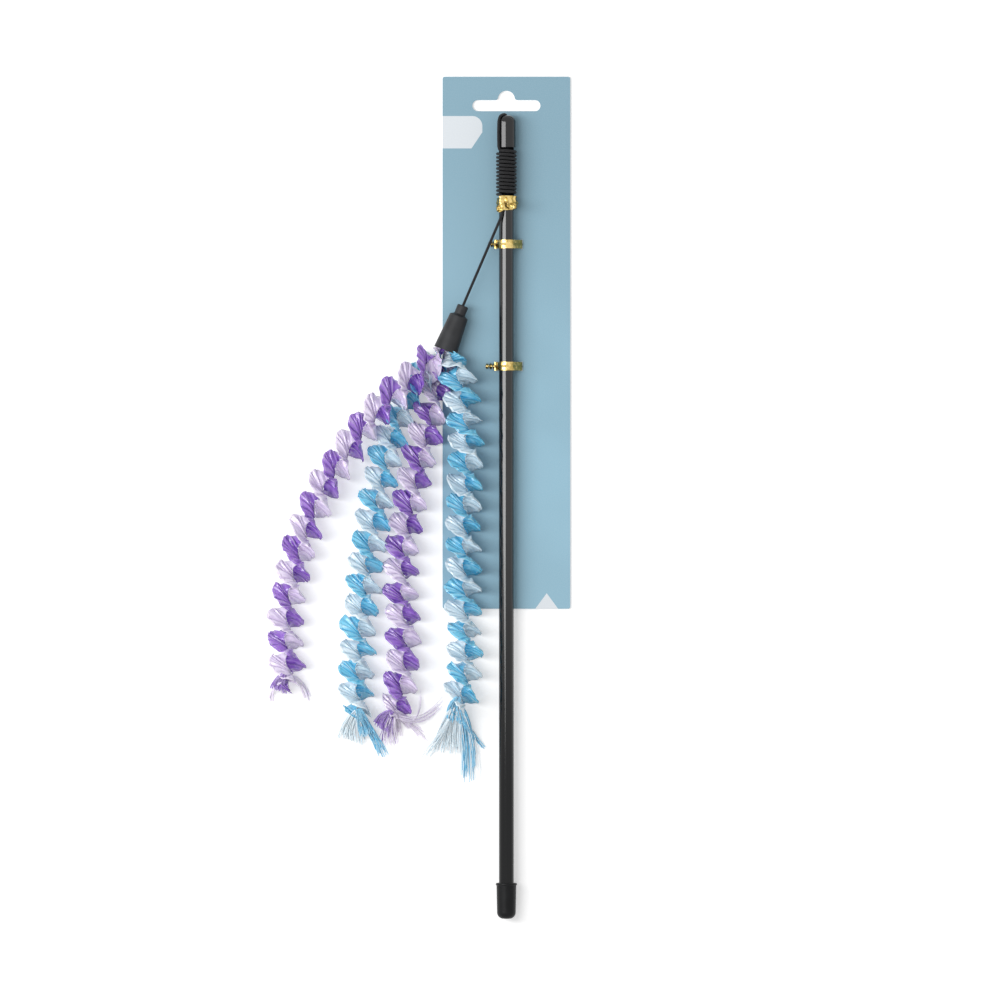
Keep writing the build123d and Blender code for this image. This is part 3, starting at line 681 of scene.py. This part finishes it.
def satin_finish(name, tint):
    """Satin ribbon: painted sheen streaks along the pleats, a painted highlight on the ridges, painted shade
    in the folds and towards the gathered edge, and a stitched hem.
    """
    streaks = 800
    stitches = 1100
    hem_place = 0.9
    hem_width = 0.035
    # Tints for the painted shade and the painted highlight
    painted_dark = [level ** 1.5 * 0.78 for level in tint]
    bright = whitened(tint, 0.36)
    glow = {"Subsurface_Weight": 0.35, "Subsurface_Radius": (1, 1, 1), "Subsurface_Scale": MM}
    finish = Finish(name, Specular_IOR_Level=1.0, **glow)
    along, across, fold = [finish.attribute(label) for label in ("along", "across", "fold")]
    place = finish.add("ShaderNodeCombineXYZ", {"X": along * streaks, "Y": across * 1.6})
    fine = finish.field("ShaderNodeTexNoise", {"Vector": place, "Scale": 1.0, "Detail": 3.0})
    # Painted sheen: random streaks along the pleats, added to the fold
    ridge = fold * 0.22 + fine
    # Painted shade in the valleys of the pleats and painted highlight on their ridges
    body = finish.mix(ridge.ramp(0.2, 0.52), painted_dark, tint)
    body = finish.mix(ridge.ramp(0.55, 1.0, 0.0, 0.8), body, bright)
    # Painted shade towards the gathered edge
    body = finish.mix(across.ramp(0.0, 0.25, 0.4, 0.0), body, painted_dark)
    hem = finish.math("ABSOLUTE", across - hem_place).ramp(0.0, hem_width, 1.0, 0.0)
    sewn = hem * (along * (FULL_TURN * stitches)).sine().ramp(-0.2, 0.4)
    finish.set("Base Color", finish.mix(sewn * 0.5, body, bright))
    finish.set("Roughness", fine.ramp(0.3, 0.7, 0.14, 0.28))
    finish.bump(fine + sewn * 0.6, 0.4, 0.8)
    return finish.material


def dress(node, material):
    """Gives a carried-over CAD node its finish."""
    mesh = frame["nodes"][node].data
    mesh.materials.clear()
    mesh.materials.append(material)


# Card, rod and cord

class DressCard(bpy.types.Operator):
    """Gives the hang card its printed paper"""

    bl_idname = "teaser_wand.dress_card"
    bl_label = "Dress Card"

    def execute(self, context):
        colours = context.scene.wand_colours
        dress("hang_card", paper_finish(colours.card, colours.card_plain))
        return {"FINISHED"}


class DressRod(bpy.types.Operator):
    """Gives the rod, its caps, the bell and what they hold their finishes"""

    bl_idname = "teaser_wand.dress_rod"
    bl_label = "Dress Rod"

    def execute(self, context):
        black = context.scene.wand_colours.plastic
        # Finish, share of the black, roughness, lift of the pale patches and gloss
        moulded = {
            "tip_cap": ("cap_gloss", 0.25, 0.1, 1.5, 0.5),
            "butt_cap": ("cap_satin", 0.4, 0.36, 1.5, 0.16),
            "ferrule_bell": ("bell_matte", 1.2, 0.5, 1.6, 0.3),
        }
        dress("rod_tube", rod_finish(black))
        for node, (name, share, roughness, lift, gloss) in moulded.items():
            dress(node, moulded_finish(name, shaded(black, share), roughness, lift, gloss))
        dress("glue_plug", glue_finish())
        return {"FINISHED"}


def tube_tree(name, step=0.0, seam=()):
    """Round tube along a line. A step makes its rings even, and a seam's inputs make it follow the seam."""
    tree, maker, entry = grow_tree(
        name, Object=["Line"], Int=["Sides"], Float=["Diameter", *seam], Material=["Material"]
    )
    line = line_of(maker, entry["Line"])
    if step:
        even = maker.add("GeometryNodeResampleCurve", {"Curve": line, "Length": step}, mode="LENGTH")
    else:
        even = maker.add("GeometryNodeResampleCurve", {"Curve": line}, mode="EVALUATED")
    along = maker.field("GeometryNodeSplineParameter", output="Length")
    even = stored(maker, even, "along", along)
    if seam:
        turn, _ = seam_turn(maker, entry, along)
        side = side_way(maker, maker.field("GeometryNodeInputTangent"))
        shift = seam_shift(turn, along, side)
        even = maker.add("GeometryNodeSetPosition", {"Geometry": even, "Offset": shift})
    ring_feeds = {"Resolution": entry["Sides"], "Radius": entry["Diameter"] * 0.5}
    ring = maker.add("GeometryNodeCurvePrimitiveCircle", ring_feeds)
    ring = stored(maker, ring, "around", maker.field("GeometryNodeSplineParameter", output="Factor"))
    tube = maker.add("GeometryNodeCurveToMesh", {"Curve": even, "Profile Curve": ring, "Fill Caps": True})
    end_tree(maker, tube, entry["Material"])
    return tree


class LayCord(bpy.types.Operator):
    """Lays the elastic cord: out of the cap, round the rod, under the top tie and on to the bell"""

    bl_idname = "teaser_wand.lay_cord"
    bl_label = "Lay Cord"

    def execute(self, context):
        diameter = context.scene.wand_sizes.cord_diameter
        black = context.scene.wand_colours.cord
        braid = cord_finish(black)
        tree = tube_tree("cord tube")
        control_r = WIND_R / math.cos(math.pi / WIND_POINTS)
        steps = round((WIND_END - WIND_JOIN) * WIND_POINTS / 360)
        winding = []
        for step in range(steps + 1):
            degrees = WIND_JOIN + (WIND_END - WIND_JOIN) * step / steps
            turn = math.radians(degrees)
            y = WIND_TOP - (degrees - WIND_START) / 360 * WIND_PITCH
            winding.append(Vector((-control_r * math.cos(turn), y, ROD_Z + control_r * math.sin(turn))))
        lead = millimetres(CAP_HOLE_POINTS + CAP_SIDE_POINTS)
        wound = lead + winding + millimetres(TAIL_POINTS) + [CORD_EXIT]
        taut = [CORD_EXIT.lerp(CORD_END, share) - UP * FREE_SAG for share in SAG_SHARES]
        into_neck = CORD_END + BELL_WAY * NECK_REACH
        free = [CORD_EXIT, *taut, CORD_END, into_neck]
        pieces = []
        for name, points in (("wound_cord", wound), ("free_cord", free)):
            line = route_line(name + "_line", points)
            values = {"Line": line, "Diameter": diameter, "Sides": CORD_SIDES, "Material": braid}
            piece = grown_piece(name, tree, values)
            pieces += [piece, line_points(line)]
            remove_line(line)
        wound_piece, wound_path, free_piece, free_path = pieces
        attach(wound_piece, "wand")
        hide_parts("cord_lead", "cord_winding", "cord_tail")
        line_length(wound_path)
        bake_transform(free_piece)
        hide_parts("cord_free")
        line_length(free_path)
        for knot in ("tip_knot", "cord_end_knot"):
            dress(knot, moulded_finish(knot + "_braid", black, roughness=0.6, lift=1.8, gloss=0.2))
        return {"FINISHED"}


# Foil ties

def even_path(points, step, closed=False):
    """Points at an even step along straight runs."""
    runs = list(zip(points, points[1:]))
    if closed:
        runs.append((points[-1], points[0]))
    even = []
    for a, b in runs:
        count = max(1, round((b - a).length / step))
        even += [a.lerp(b, i / count) for i in range(count)]
    if not closed:
        even.append(points[-1])
    return even


def softened(points, passes):
    """Open path whose corners are eased by averaging neighbours."""
    for _ in range(passes):
        inner = [(a + b * 2 + c) / 4 for a, b, c in zip(points, points[1:], points[2:])]
        points = [points[0], *inner, points[-1]]
    return points


def foil_mesh(name, strips, sizes, material):
    """Thin strips with a ridge over the wire.

    A strip is its places, its ways across, its widths, its crumple, whether it closes and its seed.
    """
    columns = 13
    ridge_reach = 0.17
    crumple_scale = 620
    half = sizes.foil_thickness / 2
    vertices, faces = [], []
    for places, ways, widths, crumple, closed, seed in strips:
        count = len(places)
        first = len(vertices)
        for i, (place, way, width) in enumerate(zip(places, ways, widths)):
            before = places[i - 1] if closed or i else place
            after = places[(i + 1) % count] if closed or i < count - 1 else place
            out = (after - before).cross(way).normalized()
            ring_top, ring_low = [], []
            for column in range(columns):
                share = 2 * column / (columns - 1) - 1
                spot = place + way * (share * width / 2)
                buckle = noise.noise((spot + Vector((seed, 0, 0)) * MM) * crumple_scale) * crumple
                ridge = sizes.foil_ridge * math.exp(-((share / ridge_reach) ** 2))
                ring_top.append(spot + out * (half + ridge + buckle))
                ring_low.append(spot + out * (-half - ridge + buckle))
            vertices += ring_top + ring_low[::-1]
        ring = 2 * columns
        for i in range(count if closed else count - 1):
            a = first + i * ring
            b = first + (i + 1) % count * ring
            for k in range(ring):
                n = (k + 1) % ring
                faces.append((a + k, a + n, b + n, b + k))
        if not closed:
            for start, turn in ((first, 1), (first + (count - 1) * ring, -1)):
                for k in range(columns - 1):
                    quad = (start + k, start + ring - 1 - k, start + ring - 2 - k, start + k + 1)
                    faces.append(quad[::turn])
    mesh = bpy.data.meshes.new(name)
    mesh.from_pydata(vertices, [], faces)
    mesh.validate()
    mesh.materials.append(material)
    mesh.update()
    return placed(name, mesh)


def twisted_tail(start, way, across, reach, turns, width, seed):
    """Strip end twisted on itself, narrower towards its tip."""
    steps = 26
    narrowing = 0.25
    crumple = 0.12 * MM
    up = way.cross(across)
    places, ways, widths = [], [], []
    for step in range(steps + 1):
        share = step / steps
        turn = FULL_TURN * turns * share
        places.append(start + way * (reach * share))
        ways.append(across * math.cos(turn) + up * math.sin(turn))
        widths.append(width * (1 - narrowing * share))
    return places, ways, widths, crumple, False, seed


def card_tie_strip(tie_y, sizes):
    """Strip over the rod, through the card's slits and behind the card, and where its twisted end starts."""
    thickness = 0.5 * MM
    clearance = 0.05 * MM
    layer_gap = 0.1 * MM
    drop_shift = 0.2 * MM
    tail_run = 0.75 * MM
    path_step = 0.3 * MM
    passes = 4
    crumple = 0.05 * MM
    arch_steps = 30
    ring_r = ROD_R + clearance + thickness / 2
    rise = CARD_HIGH.z + TIE_TAIL_RISE + thickness / 2
    lower = rise - thickness - layer_gap
    left = Vector((TIE_SLIT_LEFT, 0, rise))
    right = Vector((TIE_SLIT_RIGHT + drop_shift, 0, CARD_HIGH.z + TIE_SHOULDER))

    def touch(point, sign):
        """Angle at which a straight run from a point meets the ring."""
        across = point.x
        up = point.z - ROD_Z
        return math.atan2(up, across) + sign * math.acos(ring_r / math.hypot(across, up))

    left_angle = touch(left, -1) % FULL_TURN
    right_angle = touch(right, 1)
    angles = [left_angle + (right_angle - left_angle) * i / arch_steps for i in range(arch_steps + 1)]
    arch = [Vector((ring_r * math.cos(a), 0, ROD_Z + ring_r * math.sin(a))) for a in angles]
    tail_x = TIE_SLIT_LEFT - tail_run
    low = thickness / 2
    corners = [Vector((tail_x, 0, rise)), left, *arch, right]
    corners += [Vector((right.x, 0, low)), Vector((left.x, 0, low))]
    corners += [Vector((left.x, 0, lower)), Vector((tail_x, 0, lower))]
    places = [point + FORWARD * tie_y for point in softened(even_path(corners, path_step), passes)]
    ways = [FORWARD] * len(places)
    widths = [sizes.foil_width] * len(places)
    tail_start = Vector((tail_x, tie_y, (rise + lower) / 2))
    return (places, ways, widths, crumple, False, tie_y / MM), tail_start


def top_tie_strips(sizes):
    """Two crumpled wraps round the rod and the cord, with a bow and a twisted end."""
    # A wrap is its place along the rod, tilt, phase and width
    wraps = ((-46.1, 0.8, 0.4, 5.4), (-47.3, 1.7, 2.4, 3.0))
    # An end is its start from the rod's middle, way, way across, reach, turns and width
    ends = (
        ((-1.2, -44.4, 5.2), (0.75, -0.65, 0.1), (0.65, 0.75, 0), 6.2, 0.6, 3.4),
        ((-2.4, -46.2, 4.6), (-0.45, -0.85, 0.1), (0.85, -0.45, 0), 4.2, 0.8, 2.6),
    )
    ring_steps = 72
    path_step = 0.35 * MM
    crumple = 0.62 * MM
    layer = 0.35 * MM
    rod_gap = 0.4 * MM
    right_gap = 0.55 * MM
    bulge_gap = 0.25 * MM
    first_end_seed = 7
    centre = Vector((0, ROD_Z))
    strips = []
    for wrap, (y, tilt, phase, width) in enumerate(wraps):
        outline = []
        for step in range(ring_steps):
            angle = FULL_TURN * step / ring_steps
            way = Vector((math.cos(angle), math.sin(angle)))
            grow = sizes.foil_thickness + layer * wrap
            rod_r = ROD_R + rod_gap + right_gap * max(way.x, 0) + grow
            bulge_r = TOP_TIE_BULGE_R + bulge_gap + grow
            on_rod = centre.dot(way) + rod_r
            on_bulge = TOP_TIE_BULGE.dot(way) + bulge_r
            spot = centre + way * rod_r if on_rod > on_bulge else TOP_TIE_BULGE + way * bulge_r
            sway = math.sin(angle + phase) * tilt
            outline.append(Vector((spot.x, (y + sway) * MM, spot.y)))
        places = even_path(outline, path_step, True)[::-1]
        ways = [FORWARD] * len(places)
        widths = [width * MM] * len(places)
        strips.append((places, ways, widths, crumple, True, 5 + 9 * wrap))
    for seed, (start, way, across, reach, turns, width) in enumerate(ends, first_end_seed):
        place = Vector(start) * MM + UP * ROD_Z
        way = Vector(way).normalized()
        strips.append(twisted_tail(place, way, Vector(across), reach * MM, turns, width * MM, seed))
    return strips


class FoldTies(bpy.types.Operator):
    """Folds the three foil ties"""

    bl_idname = "teaser_wand.fold_ties"
    bl_label = "Fold Ties"

    def execute(self, context):
        sizes = context.scene.wand_sizes
        foil = foil_finish(context.scene.wand_colours.gold)
        steel = steel_finish()
        end_turns = 1.2
        end_width = 3.4 * MM
        ties = {}
        for seed, name in enumerate(("middle_tie", "lower_tie"), 1):
            low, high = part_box(name + "_foil")
            strip, tail_start = card_tie_strip((low.y + high.y) / 2, sizes)
            reach = tail_start.x - low.x
            tail = twisted_tail(tail_start, LEFT, FORWARD, reach, end_turns, end_width, seed)
            ties[name] = [strip, tail]
        ties["top_tie"] = top_tie_strips(sizes)
        for name, strips in ties.items():
            piece = foil_mesh(name, strips, sizes, foil)
            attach(piece, "wand")
            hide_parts(name + "_foil")
            dress(name + "_wire", steel)
        return {"FINISHED"}


# Twisted tails

def side_way(maker, tangent):
    """Level way to the right of a line."""
    return maker.math("NORMALIZE", maker.math("CROSS_PRODUCT", tuple(UP), tangent))


def seam_turn(maker, entry, along):
    """Turn of the twist at a place along a tail, and its even rate."""
    sway = 0.5
    sway_scale = 105
    lobe_share = 0.35
    swing = (maker.line_noise(along, sway_scale, entry["Seed"]) - 0.5) * sway
    rate = maker.math("DIVIDE", FULL_TURN, entry["Pitch"])
    even = entry["Twist"] + (along - entry["Lift"]) * rate + swing
    linger = (even * 2).sine() * (-0.5 * lobe_share)
    return even + linger, rate


def seam_shift(turn, along, side):
    """How far the gathered edge leans to the side."""
    slant = 1.1 * MM
    right = 0.8 * MM
    phase = math.radians(50)
    start = 5 * MM
    full = 16 * MM
    lean = (turn * 2 - phase).sine() * slant + right
    return side * (lean * along.ramp(start, full))


def ribbon_tree():
    """One pleated ribbon wound about a line: gathered at its inner edge, full at its outer edge."""
    mouth = 4 * MM
    opening = 13 * MM
    closing = 7 * MM
    table = 0.25 * MM
    ruffle_depth = 0.8 * MM
    cup_depth = 1.3 * MM
    lag = 0.42
    pinch = 3.0 * MM
    tip_rise = 1.3 * MM
    left_rise = 2.2 * MM
    flutter_depth = 1.0 * MM
    slide_start = 5 * MM
    slide_full = 16 * MM
    crease_depth = 0.5 * MM
    pleat_drift = 11
    sizes = ["Length", "Arm", "Twist", "Lift", "Pitch", "Radius", "Pleat Depth", "Seed"]
    limits = ["Card Edge", "Card Top", "Card End"]
    counts = ["Rows", "Columns", "Pleats"]
    tree, maker, entry = grow_tree(
        "twisted ribbon", Object=["Line"], Int=counts, Float=sizes + limits, Material=["Material"]
    )
    grid_feeds = {"Size X": 1.0, "Size Y": 1.0, "Vertices X": entry["Columns"], "Vertices Y": entry["Rows"]}
    sheet = maker.add("GeometryNodeMeshGrid", grid_feeds)
    spot = maker.field("GeometryNodeInputPosition")
    across = spot.part(0) + 0.5
    along = (spot.part(1) + 0.5) * entry["Length"]
    seed = entry["Seed"] + entry["Arm"]

    def ripple(scale, start):
        """Noise along the ribbon, from 0 to 1."""
        return maker.line_noise(along, scale, seed + start)

    def swing(scale, start, depth):
        """Noise along the ribbon to both sides of 0."""
        return (ripple(scale, start) - 0.5) * (2 * depth)

    # Frame of the line and way of the ribbon out from it
    sample_feeds = {"Curves": line_of(maker, entry["Line"]), "Length": along}
    sample = maker.add("GeometryNodeSampleCurve", sample_feeds, mode="LENGTH")
    centre, tangent = [Field(maker, sample.outputs[label]) for label in ("Position", "Tangent")]
    side = side_way(maker, tangent)
    top = maker.math("CROSS_PRODUCT", tangent, side)
    seam, rate = seam_turn(maker, entry, along)
    even_turn = seam + entry["Arm"]
    turn = even_turn - even_turn.sine() * lag * maker.math("POWER", across, 0.8)
    sine = turn.sine()
    cosine = turn.cosine()
    out = top * sine - side * cosine
    round_way = top * cosine + side * sine
    swell = ripple(120, entry["Arm"] + 40).ramp(0.25, 0.75, 0.9, 1.06)
    open_share = along.ramp(mouth, opening, 0.25, 1)
    close_share = along.ramp(entry["Length"] - closing, entry["Length"], 1, 0.72)
    reach = across * (entry["Radius"] * swell * open_share * close_share)

    # Pleats, ruffle, creases and cup, square to the ribbon
    climb = tangent + round_way * (reach * rate)
    face = maker.math("CROSS_PRODUCT", out, maker.math("NORMALIZE", climb))
    wave = (along * (rate * entry["Pleats"]) + swing(190, 7, pleat_drift / 2)).sine()
    fold = wave * ripple(420, 19).ramp(0.25, 0.75, 0.15, 1.7)
    pleat = fold * across.ramp(0.1, 1.0, 1.0, 0.45) * entry["Pleat Depth"]
    ruffle = swing(270, 31, ruffle_depth) * across * across
    billow = ripple(95, 53).ramp(0.3, 0.7, 0.3, 1.5)
    cup = (across * math.pi).sine() * cup_depth * billow * open_share
    crease = swing(620, 83, crease_depth) * across.ramp(0.0, 0.4)
    shift = pleat + ruffle + crease + cup

    # Slide along the line that pinches the seam and points the lobes
    even_cosine = even_turn.cosine()
    inner = even_cosine * pinch * (1 - across)
    rise = even_cosine * even_cosine * (even_cosine * left_rise + tip_rise)
    outer = swing(140, 67, flutter_depth) - rise
    slide = (inner + outer * across) * along.ramp(slide_start, slide_full)
    reached = along + slide
    reached_turn, _ = seam_turn(maker, entry, reached)
    lean = seam_shift(reached_turn, reached, side)
    whole = centre + out * reach + face * shift + tangent * slide + lean

    # Kept above the table and the card
    x, y, z = [whole.part(index) for index in range(3)]
    over_card = (x > entry["Card Edge"]) * (y > entry["Card End"])
    level = maker.math("MAXIMUM", z, over_card * entry["Card Top"] + table)
    final = maker.add("ShaderNodeCombineXYZ", {"X": x, "Y": y, "Z": level})
    for name, value in (("along", along), ("across", across), ("fold", fold)):
        sheet = stored(maker, sheet, name, value)
    moved = maker.add("GeometryNodeSetPosition", {"Geometry": sheet, "Position": final})
    end_tree(maker, moved, entry["Material"])
    return tree


def tail_point(right, down, height=REST_HEIGHT):
    """Place given from the bell's mouth and the table, in millimetres."""
    return Vector((MOUTH.x + right * MM, MOUTH.y - down * MM, height * MM))


def tail_line(number):
    """Centre line of one tail, from inside the bell to its cut end."""
    tail = TAILS[number]
    side, up = tail["corner"]
    offset = BELL_SIDE * (side * ROOT_SPREAD) + UP * (up * ROOT_SPREAD)
    points = [MOUTH - BELL_WAY * ROOT_INSIDE + offset, MOUTH + offset]
    points += [tail_point(*spot) for spot in tail["route"]]
    return route_line(f"tail_{number}_line", points)


class TwistTails(bpy.types.Operator):
    """Winds the eight pleated ribbons and their gathering threads"""

    bl_idname = "teaser_wand.twist_tails"
    bl_label = "Twist Tails"

    def execute(self, context):
        sizes = context.scene.wand_sizes
        colours = context.scene.wand_colours
        tree = ribbon_tree()
        seam_tree = tube_tree("gathering thread", THREAD_STEP, ("Twist", "Lift", "Pitch", "Seed"))
        thread = thread_finish()
        satins = {tint: satin_finish("satin_" + tint, getattr(colours, tint)) for tint in TINTS}
        for number, tail in TAILS.items():
            body = f"strand_{number}"
            line = tail_line(number)
            points = line_points(line)
            whole = line_length(points)
            lift = line_length([p for p in points if p.y > LIFT_Y])
            pitch = tail["pitch"] * MM
            rows = round(whole / pitch * sizes.pleats * ROWS_PER_PLEAT)
            values = {
                "Line": line, "Length": whole, "Rows": rows, "Columns": RIBBON_COLUMNS, "Lift": lift,
                "Pitch": pitch, "Twist": math.radians(tail["twist"]), "Radius": sizes.ribbon_radius,
                "Pleats": sizes.pleats, "Pleat Depth": sizes.pleat_depth, "Card Edge": CARD_LOW.x - MM,
                "Card Top": CARD_HIGH.z, "Card End": CARD_LOW.y - MM, "Seed": float(tail["seed"]),
                "Diameter": sizes.thread_diameter, "Sides": THREAD_SIDES, "Material": thread,
            }
            core = grown_piece(body + "_gathering_thread", seam_tree, values)
            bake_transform(core)
            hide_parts(body + "_thread_root", body + "_thread")
            for shade, arm in (("dark", 0.0), ("light", math.pi)):
                tint = tail[shade]
                values["Arm"] = arm
                values["Material"] = satins[tint]
                ribbon = grown_piece(f"{body}_{shade}_satin", tree, values, sizes.ribbon_thickness)
                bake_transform(ribbon)
                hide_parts(f"{body}_{shade}_ribbon_root", f"{body}_{shade}_ribbon")
                "ribbon_" + tint
            remove_line(line)
        return {"FINISHED"}


# Frayed ends

def yarn_tree():
    """Flat yarns along many short lines, thinner towards their tips."""
    tree, maker, entry = grow_tree(
        "frayed yarns", Object=["Lines"], Float=["Flatness"], Material=["Material"]
    )
    lines = line_of(maker, entry["Lines"])
    bent = maker.add("GeometryNodeCurveSplineType", {"Curve": lines}, spline_type="CATMULL_ROM")
    even = maker.add("GeometryNodeResampleCurve", {"Curve": bent, "Count": 12}, mode="COUNT")
    upright = maker.add("GeometryNodeSetCurveNormal", {"Curve": even}, mode="Z_UP")
    flat_feeds = {"Width": 1.0, "Height": entry["Flatness"]}
    flat = maker.add("GeometryNodeCurvePrimitiveQuadrilateral", flat_feeds, mode="RECTANGLE")
    width = maker.add("GeometryNodeInputRadius")
    feeds = {"Curve": upright, "Profile Curve": flat, "Scale": width, "Fill Caps": True}
    end_tree(maker, maker.add("GeometryNodeCurveToMesh", feeds), entry["Material"])
    return tree


def tuft(end, facts, draw):
    """Yarns of one tuft that fan out from the cut end, bend through a middle and come down to the table."""
    _, count, width, start, middle, tip, start_spread, tip_spread, lift = facts
    steps = 7
    lowest = 0.5
    landing = 0.75
    curl_turns = 0.8
    thinning = 0.4
    marks = [Vector((right, -down, 0)) * MM for right, down in (start, middle, tip)]
    run = (marks[2] - marks[0]).normalized()
    sideways = Vector((-run.y, run.x, 0))
    yarns = []
    for index in range(count):
        share = (index + 0.5) / count * 2 - 1 + draw.uniform(-0.5, 0.5) / count
        reach = draw.uniform(0.72, 1.0)
        wave = draw.uniform(-0.7, 0.7)
        high = end.z + (draw.uniform(-4.0, 1.5) + lift) * MM
        low = (lowest + draw.uniform(0.0, 1.6) + lift) * MM
        points, widths = [], []
        for step in range(steps + 1):
            t = step / steps * reach
            weights = ((1 - t) * (1 - 2 * t), 4 * t * (1 - t), t * (2 * t - 1))
            place = sum((mark * weight for mark, weight in zip(marks, weights)), Vector())
            spread = (start_spread + (tip_spread - start_spread) * t ** 0.8) / 2
            curl = wave * math.sin(FULL_TURN * curl_turns * t + index) * t
            point = end + place + sideways * ((share * spread + curl) * MM)
            fall = min(t / landing, 1.0)
            fall = fall * fall * (3 - 2 * fall)
            point.z = high * (1 - fall) + low * fall
            points.append(point)
            widths.append(width * MM * (1 - thinning * t))
        yarns.append((points, widths))
    return yarns


class FrayTails(bpy.types.Operator):
    """Frays the cut ends of the four tails"""

    bl_idname = "teaser_wand.fray_tails"
    bl_label = "Fray Tails"

    def execute(self, context):
        colours = context.scene.wand_colours
        tree = yarn_tree()
        finishes = {tint: yarn_finish("yarn_" + tint, getattr(colours, tint)) for tint in TINTS}
        for number, tail in TAILS.items():
            body = f"strand_{number}"
            end = tail_point(*tail["route"][-1])
            for shade in ("dark", "light"):
                draw = random.Random(100 * number + len(shade))
                yarns = []
                for facts in tail["frays"]:
                    if facts[0] == shade:
                        yarns += tuft(end, facts, draw)
                lines = guide_lines("yarn_lines", "POLY", yarns)
                values = {"Lines": lines, "Flatness": YARN_FLATNESS, "Material": finishes[tail[shade]]}
                piece = grown_piece(f"{body}_{shade}_yarns", tree, values)
                remove_line(lines)
                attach(piece, body)
                "ribbon_" + tail[shade]
                if shade == "light":
                    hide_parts(body + "_fray")
        return {"FINISHED"}


# Stage

class SetStage(bpy.types.Operator):
    """Sets the white floor, the soft light and the camera over the wand"""

    bl_idname = "teaser_wand.set_stage"
    bl_label = "Set Stage"

    def execute(self, context):
        scene = context.scene
        scene.view_settings.view_transform = "Standard"
        middle = Vector((-3.0, -185.3, 0)) * MM
        field = 0.47
        height = 4.0
        camera_data = bpy.data.cameras.new("camera")
        camera_data.sensor_width = 36
        camera_data.lens = camera_data.sensor_width * height / field
        scene.camera = placed("camera", camera_data)
        scene.camera.location = middle + UP * height

        floor_half = 4.0
        drop = -0.2 * MM
        corners = [(x, y, drop) for x, y in ((-1, -1), (1, -1), (1, 1), (-1, 1))]
        mesh = bpy.data.meshes.new("floor")
        mesh.from_pydata([(x * floor_half, y * floor_half, z) for x, y, z in corners], [], [(0, 1, 2, 3)])
        mesh.materials.append(self.floor_finish())
        placed("floor", mesh)

        light_data = bpy.data.lights.new("softbox", "AREA")
        light_data.shape = "RECTANGLE"
        light_data.size = 0.42
        light_data.size_y = 1.05
        light_data.energy = 9.7
        light_way = Vector((-0.57, 0.12, 0.81)).normalized()
        light_distance = 1.15
        light = placed("softbox", light_data)
        light.location = middle + light_way * light_distance
        light.rotation_euler = light_way.to_track_quat("Z", "Y").to_euler()

        world = bpy.data.worlds.new("studio")
        scene.world = world
        world.use_nodes = True
        maker = NodeMaker(world.node_tree)
        ambient = 0.52
        background = world.node_tree.nodes["Background"]
        background.inputs["Color"].default_value = (1, 1, 1, 1)
        maker.feed(background.inputs["Strength"], self.seen_rays(maker) * (1 - ambient) + ambient)
        return {"FINISHED"}

    def seen_rays(self, maker):
        """1 for rays that show the stage itself."""
        path = maker.add("ShaderNodeLightPath")
        rays = ("Is Camera Ray", "Is Glossy Ray", "Is Transmission Ray")
        camera, glossy, through = [Field(maker, path.outputs[ray]) for ray in rays]
        return maker.math("MINIMUM", camera + glossy + through, 1)

    def floor_finish(self):
        """White floor that shows white where it is lit and keeps the shadow."""
        white = (0.86, 0.86, 0.86, 1)
        lift = 0.36
        material = bpy.data.materials.new("floor_white")
        material.use_nodes = True
        tree = material.node_tree
        tree.nodes.remove(tree.nodes["Principled BSDF"])
        maker = NodeMaker(tree)
        glow = maker.add("ShaderNodeEmission", {"Strength": self.seen_rays(maker) * lift})
        both = maker.add("ShaderNodeAddShader")
        maker.feed(both.inputs[0], maker.add("ShaderNodeBsdfDiffuse", {"Color": white}))
        maker.feed(both.inputs[1], glow)
        maker.feed(tree.nodes["Material Output"].inputs["Surface"], both)
        return material


class WandPanel(bpy.types.Panel):
    """Sizes, colours and steps of the teaser wand"""

    bl_idname = "VIEW3D_PT_teaser_wand"
    bl_label = "Teaser Wand"
    bl_space_type = "VIEW_3D"
    bl_region_type = "UI"
    bl_category = "Teaser Wand"

    def draw(self, context):
        for group in (context.scene.wand_sizes, context.scene.wand_colours):
            box = self.layout.box()
            for name in group.bl_rna.properties.keys():
                if name not in ("rna_type", "name"):
                    box.prop(group, name)
        for step in STEPS:
            self.layout.operator(step.bl_idname)


STEPS = (SetStage, LayCord, DressCard, DressRod, FoldTies, TwistTails, FrayTails)
CLASSES = (WandColours, WandSizes, *STEPS, WandPanel)


def register():
    """Adds the classes and the scene's settings."""
    for kind in CLASSES:
        bpy.utils.register_class(kind)
    bpy.types.Scene.wand_colours = PointerProperty(type=WandColours)
    bpy.types.Scene.wand_sizes = PointerProperty(type=WandSizes)


def unregister():
    """Takes the settings and the classes away."""
    del bpy.types.Scene.wand_sizes
    del bpy.types.Scene.wand_colours
    for kind in reversed(CLASSES):
        bpy.utils.unregister_class(kind)


def main():
    """Registers the add-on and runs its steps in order."""
    register()
    bpy.ops.teaser_wand.set_stage()
    bpy.ops.teaser_wand.lay_cord()
    bpy.ops.teaser_wand.dress_card()
    bpy.ops.teaser_wand.dress_rod()
    bpy.ops.teaser_wand.fold_ties()
    bpy.ops.teaser_wand.twist_tails()
    bpy.ops.teaser_wand.fray_tails()


if __name__ == "__main__":
    main()
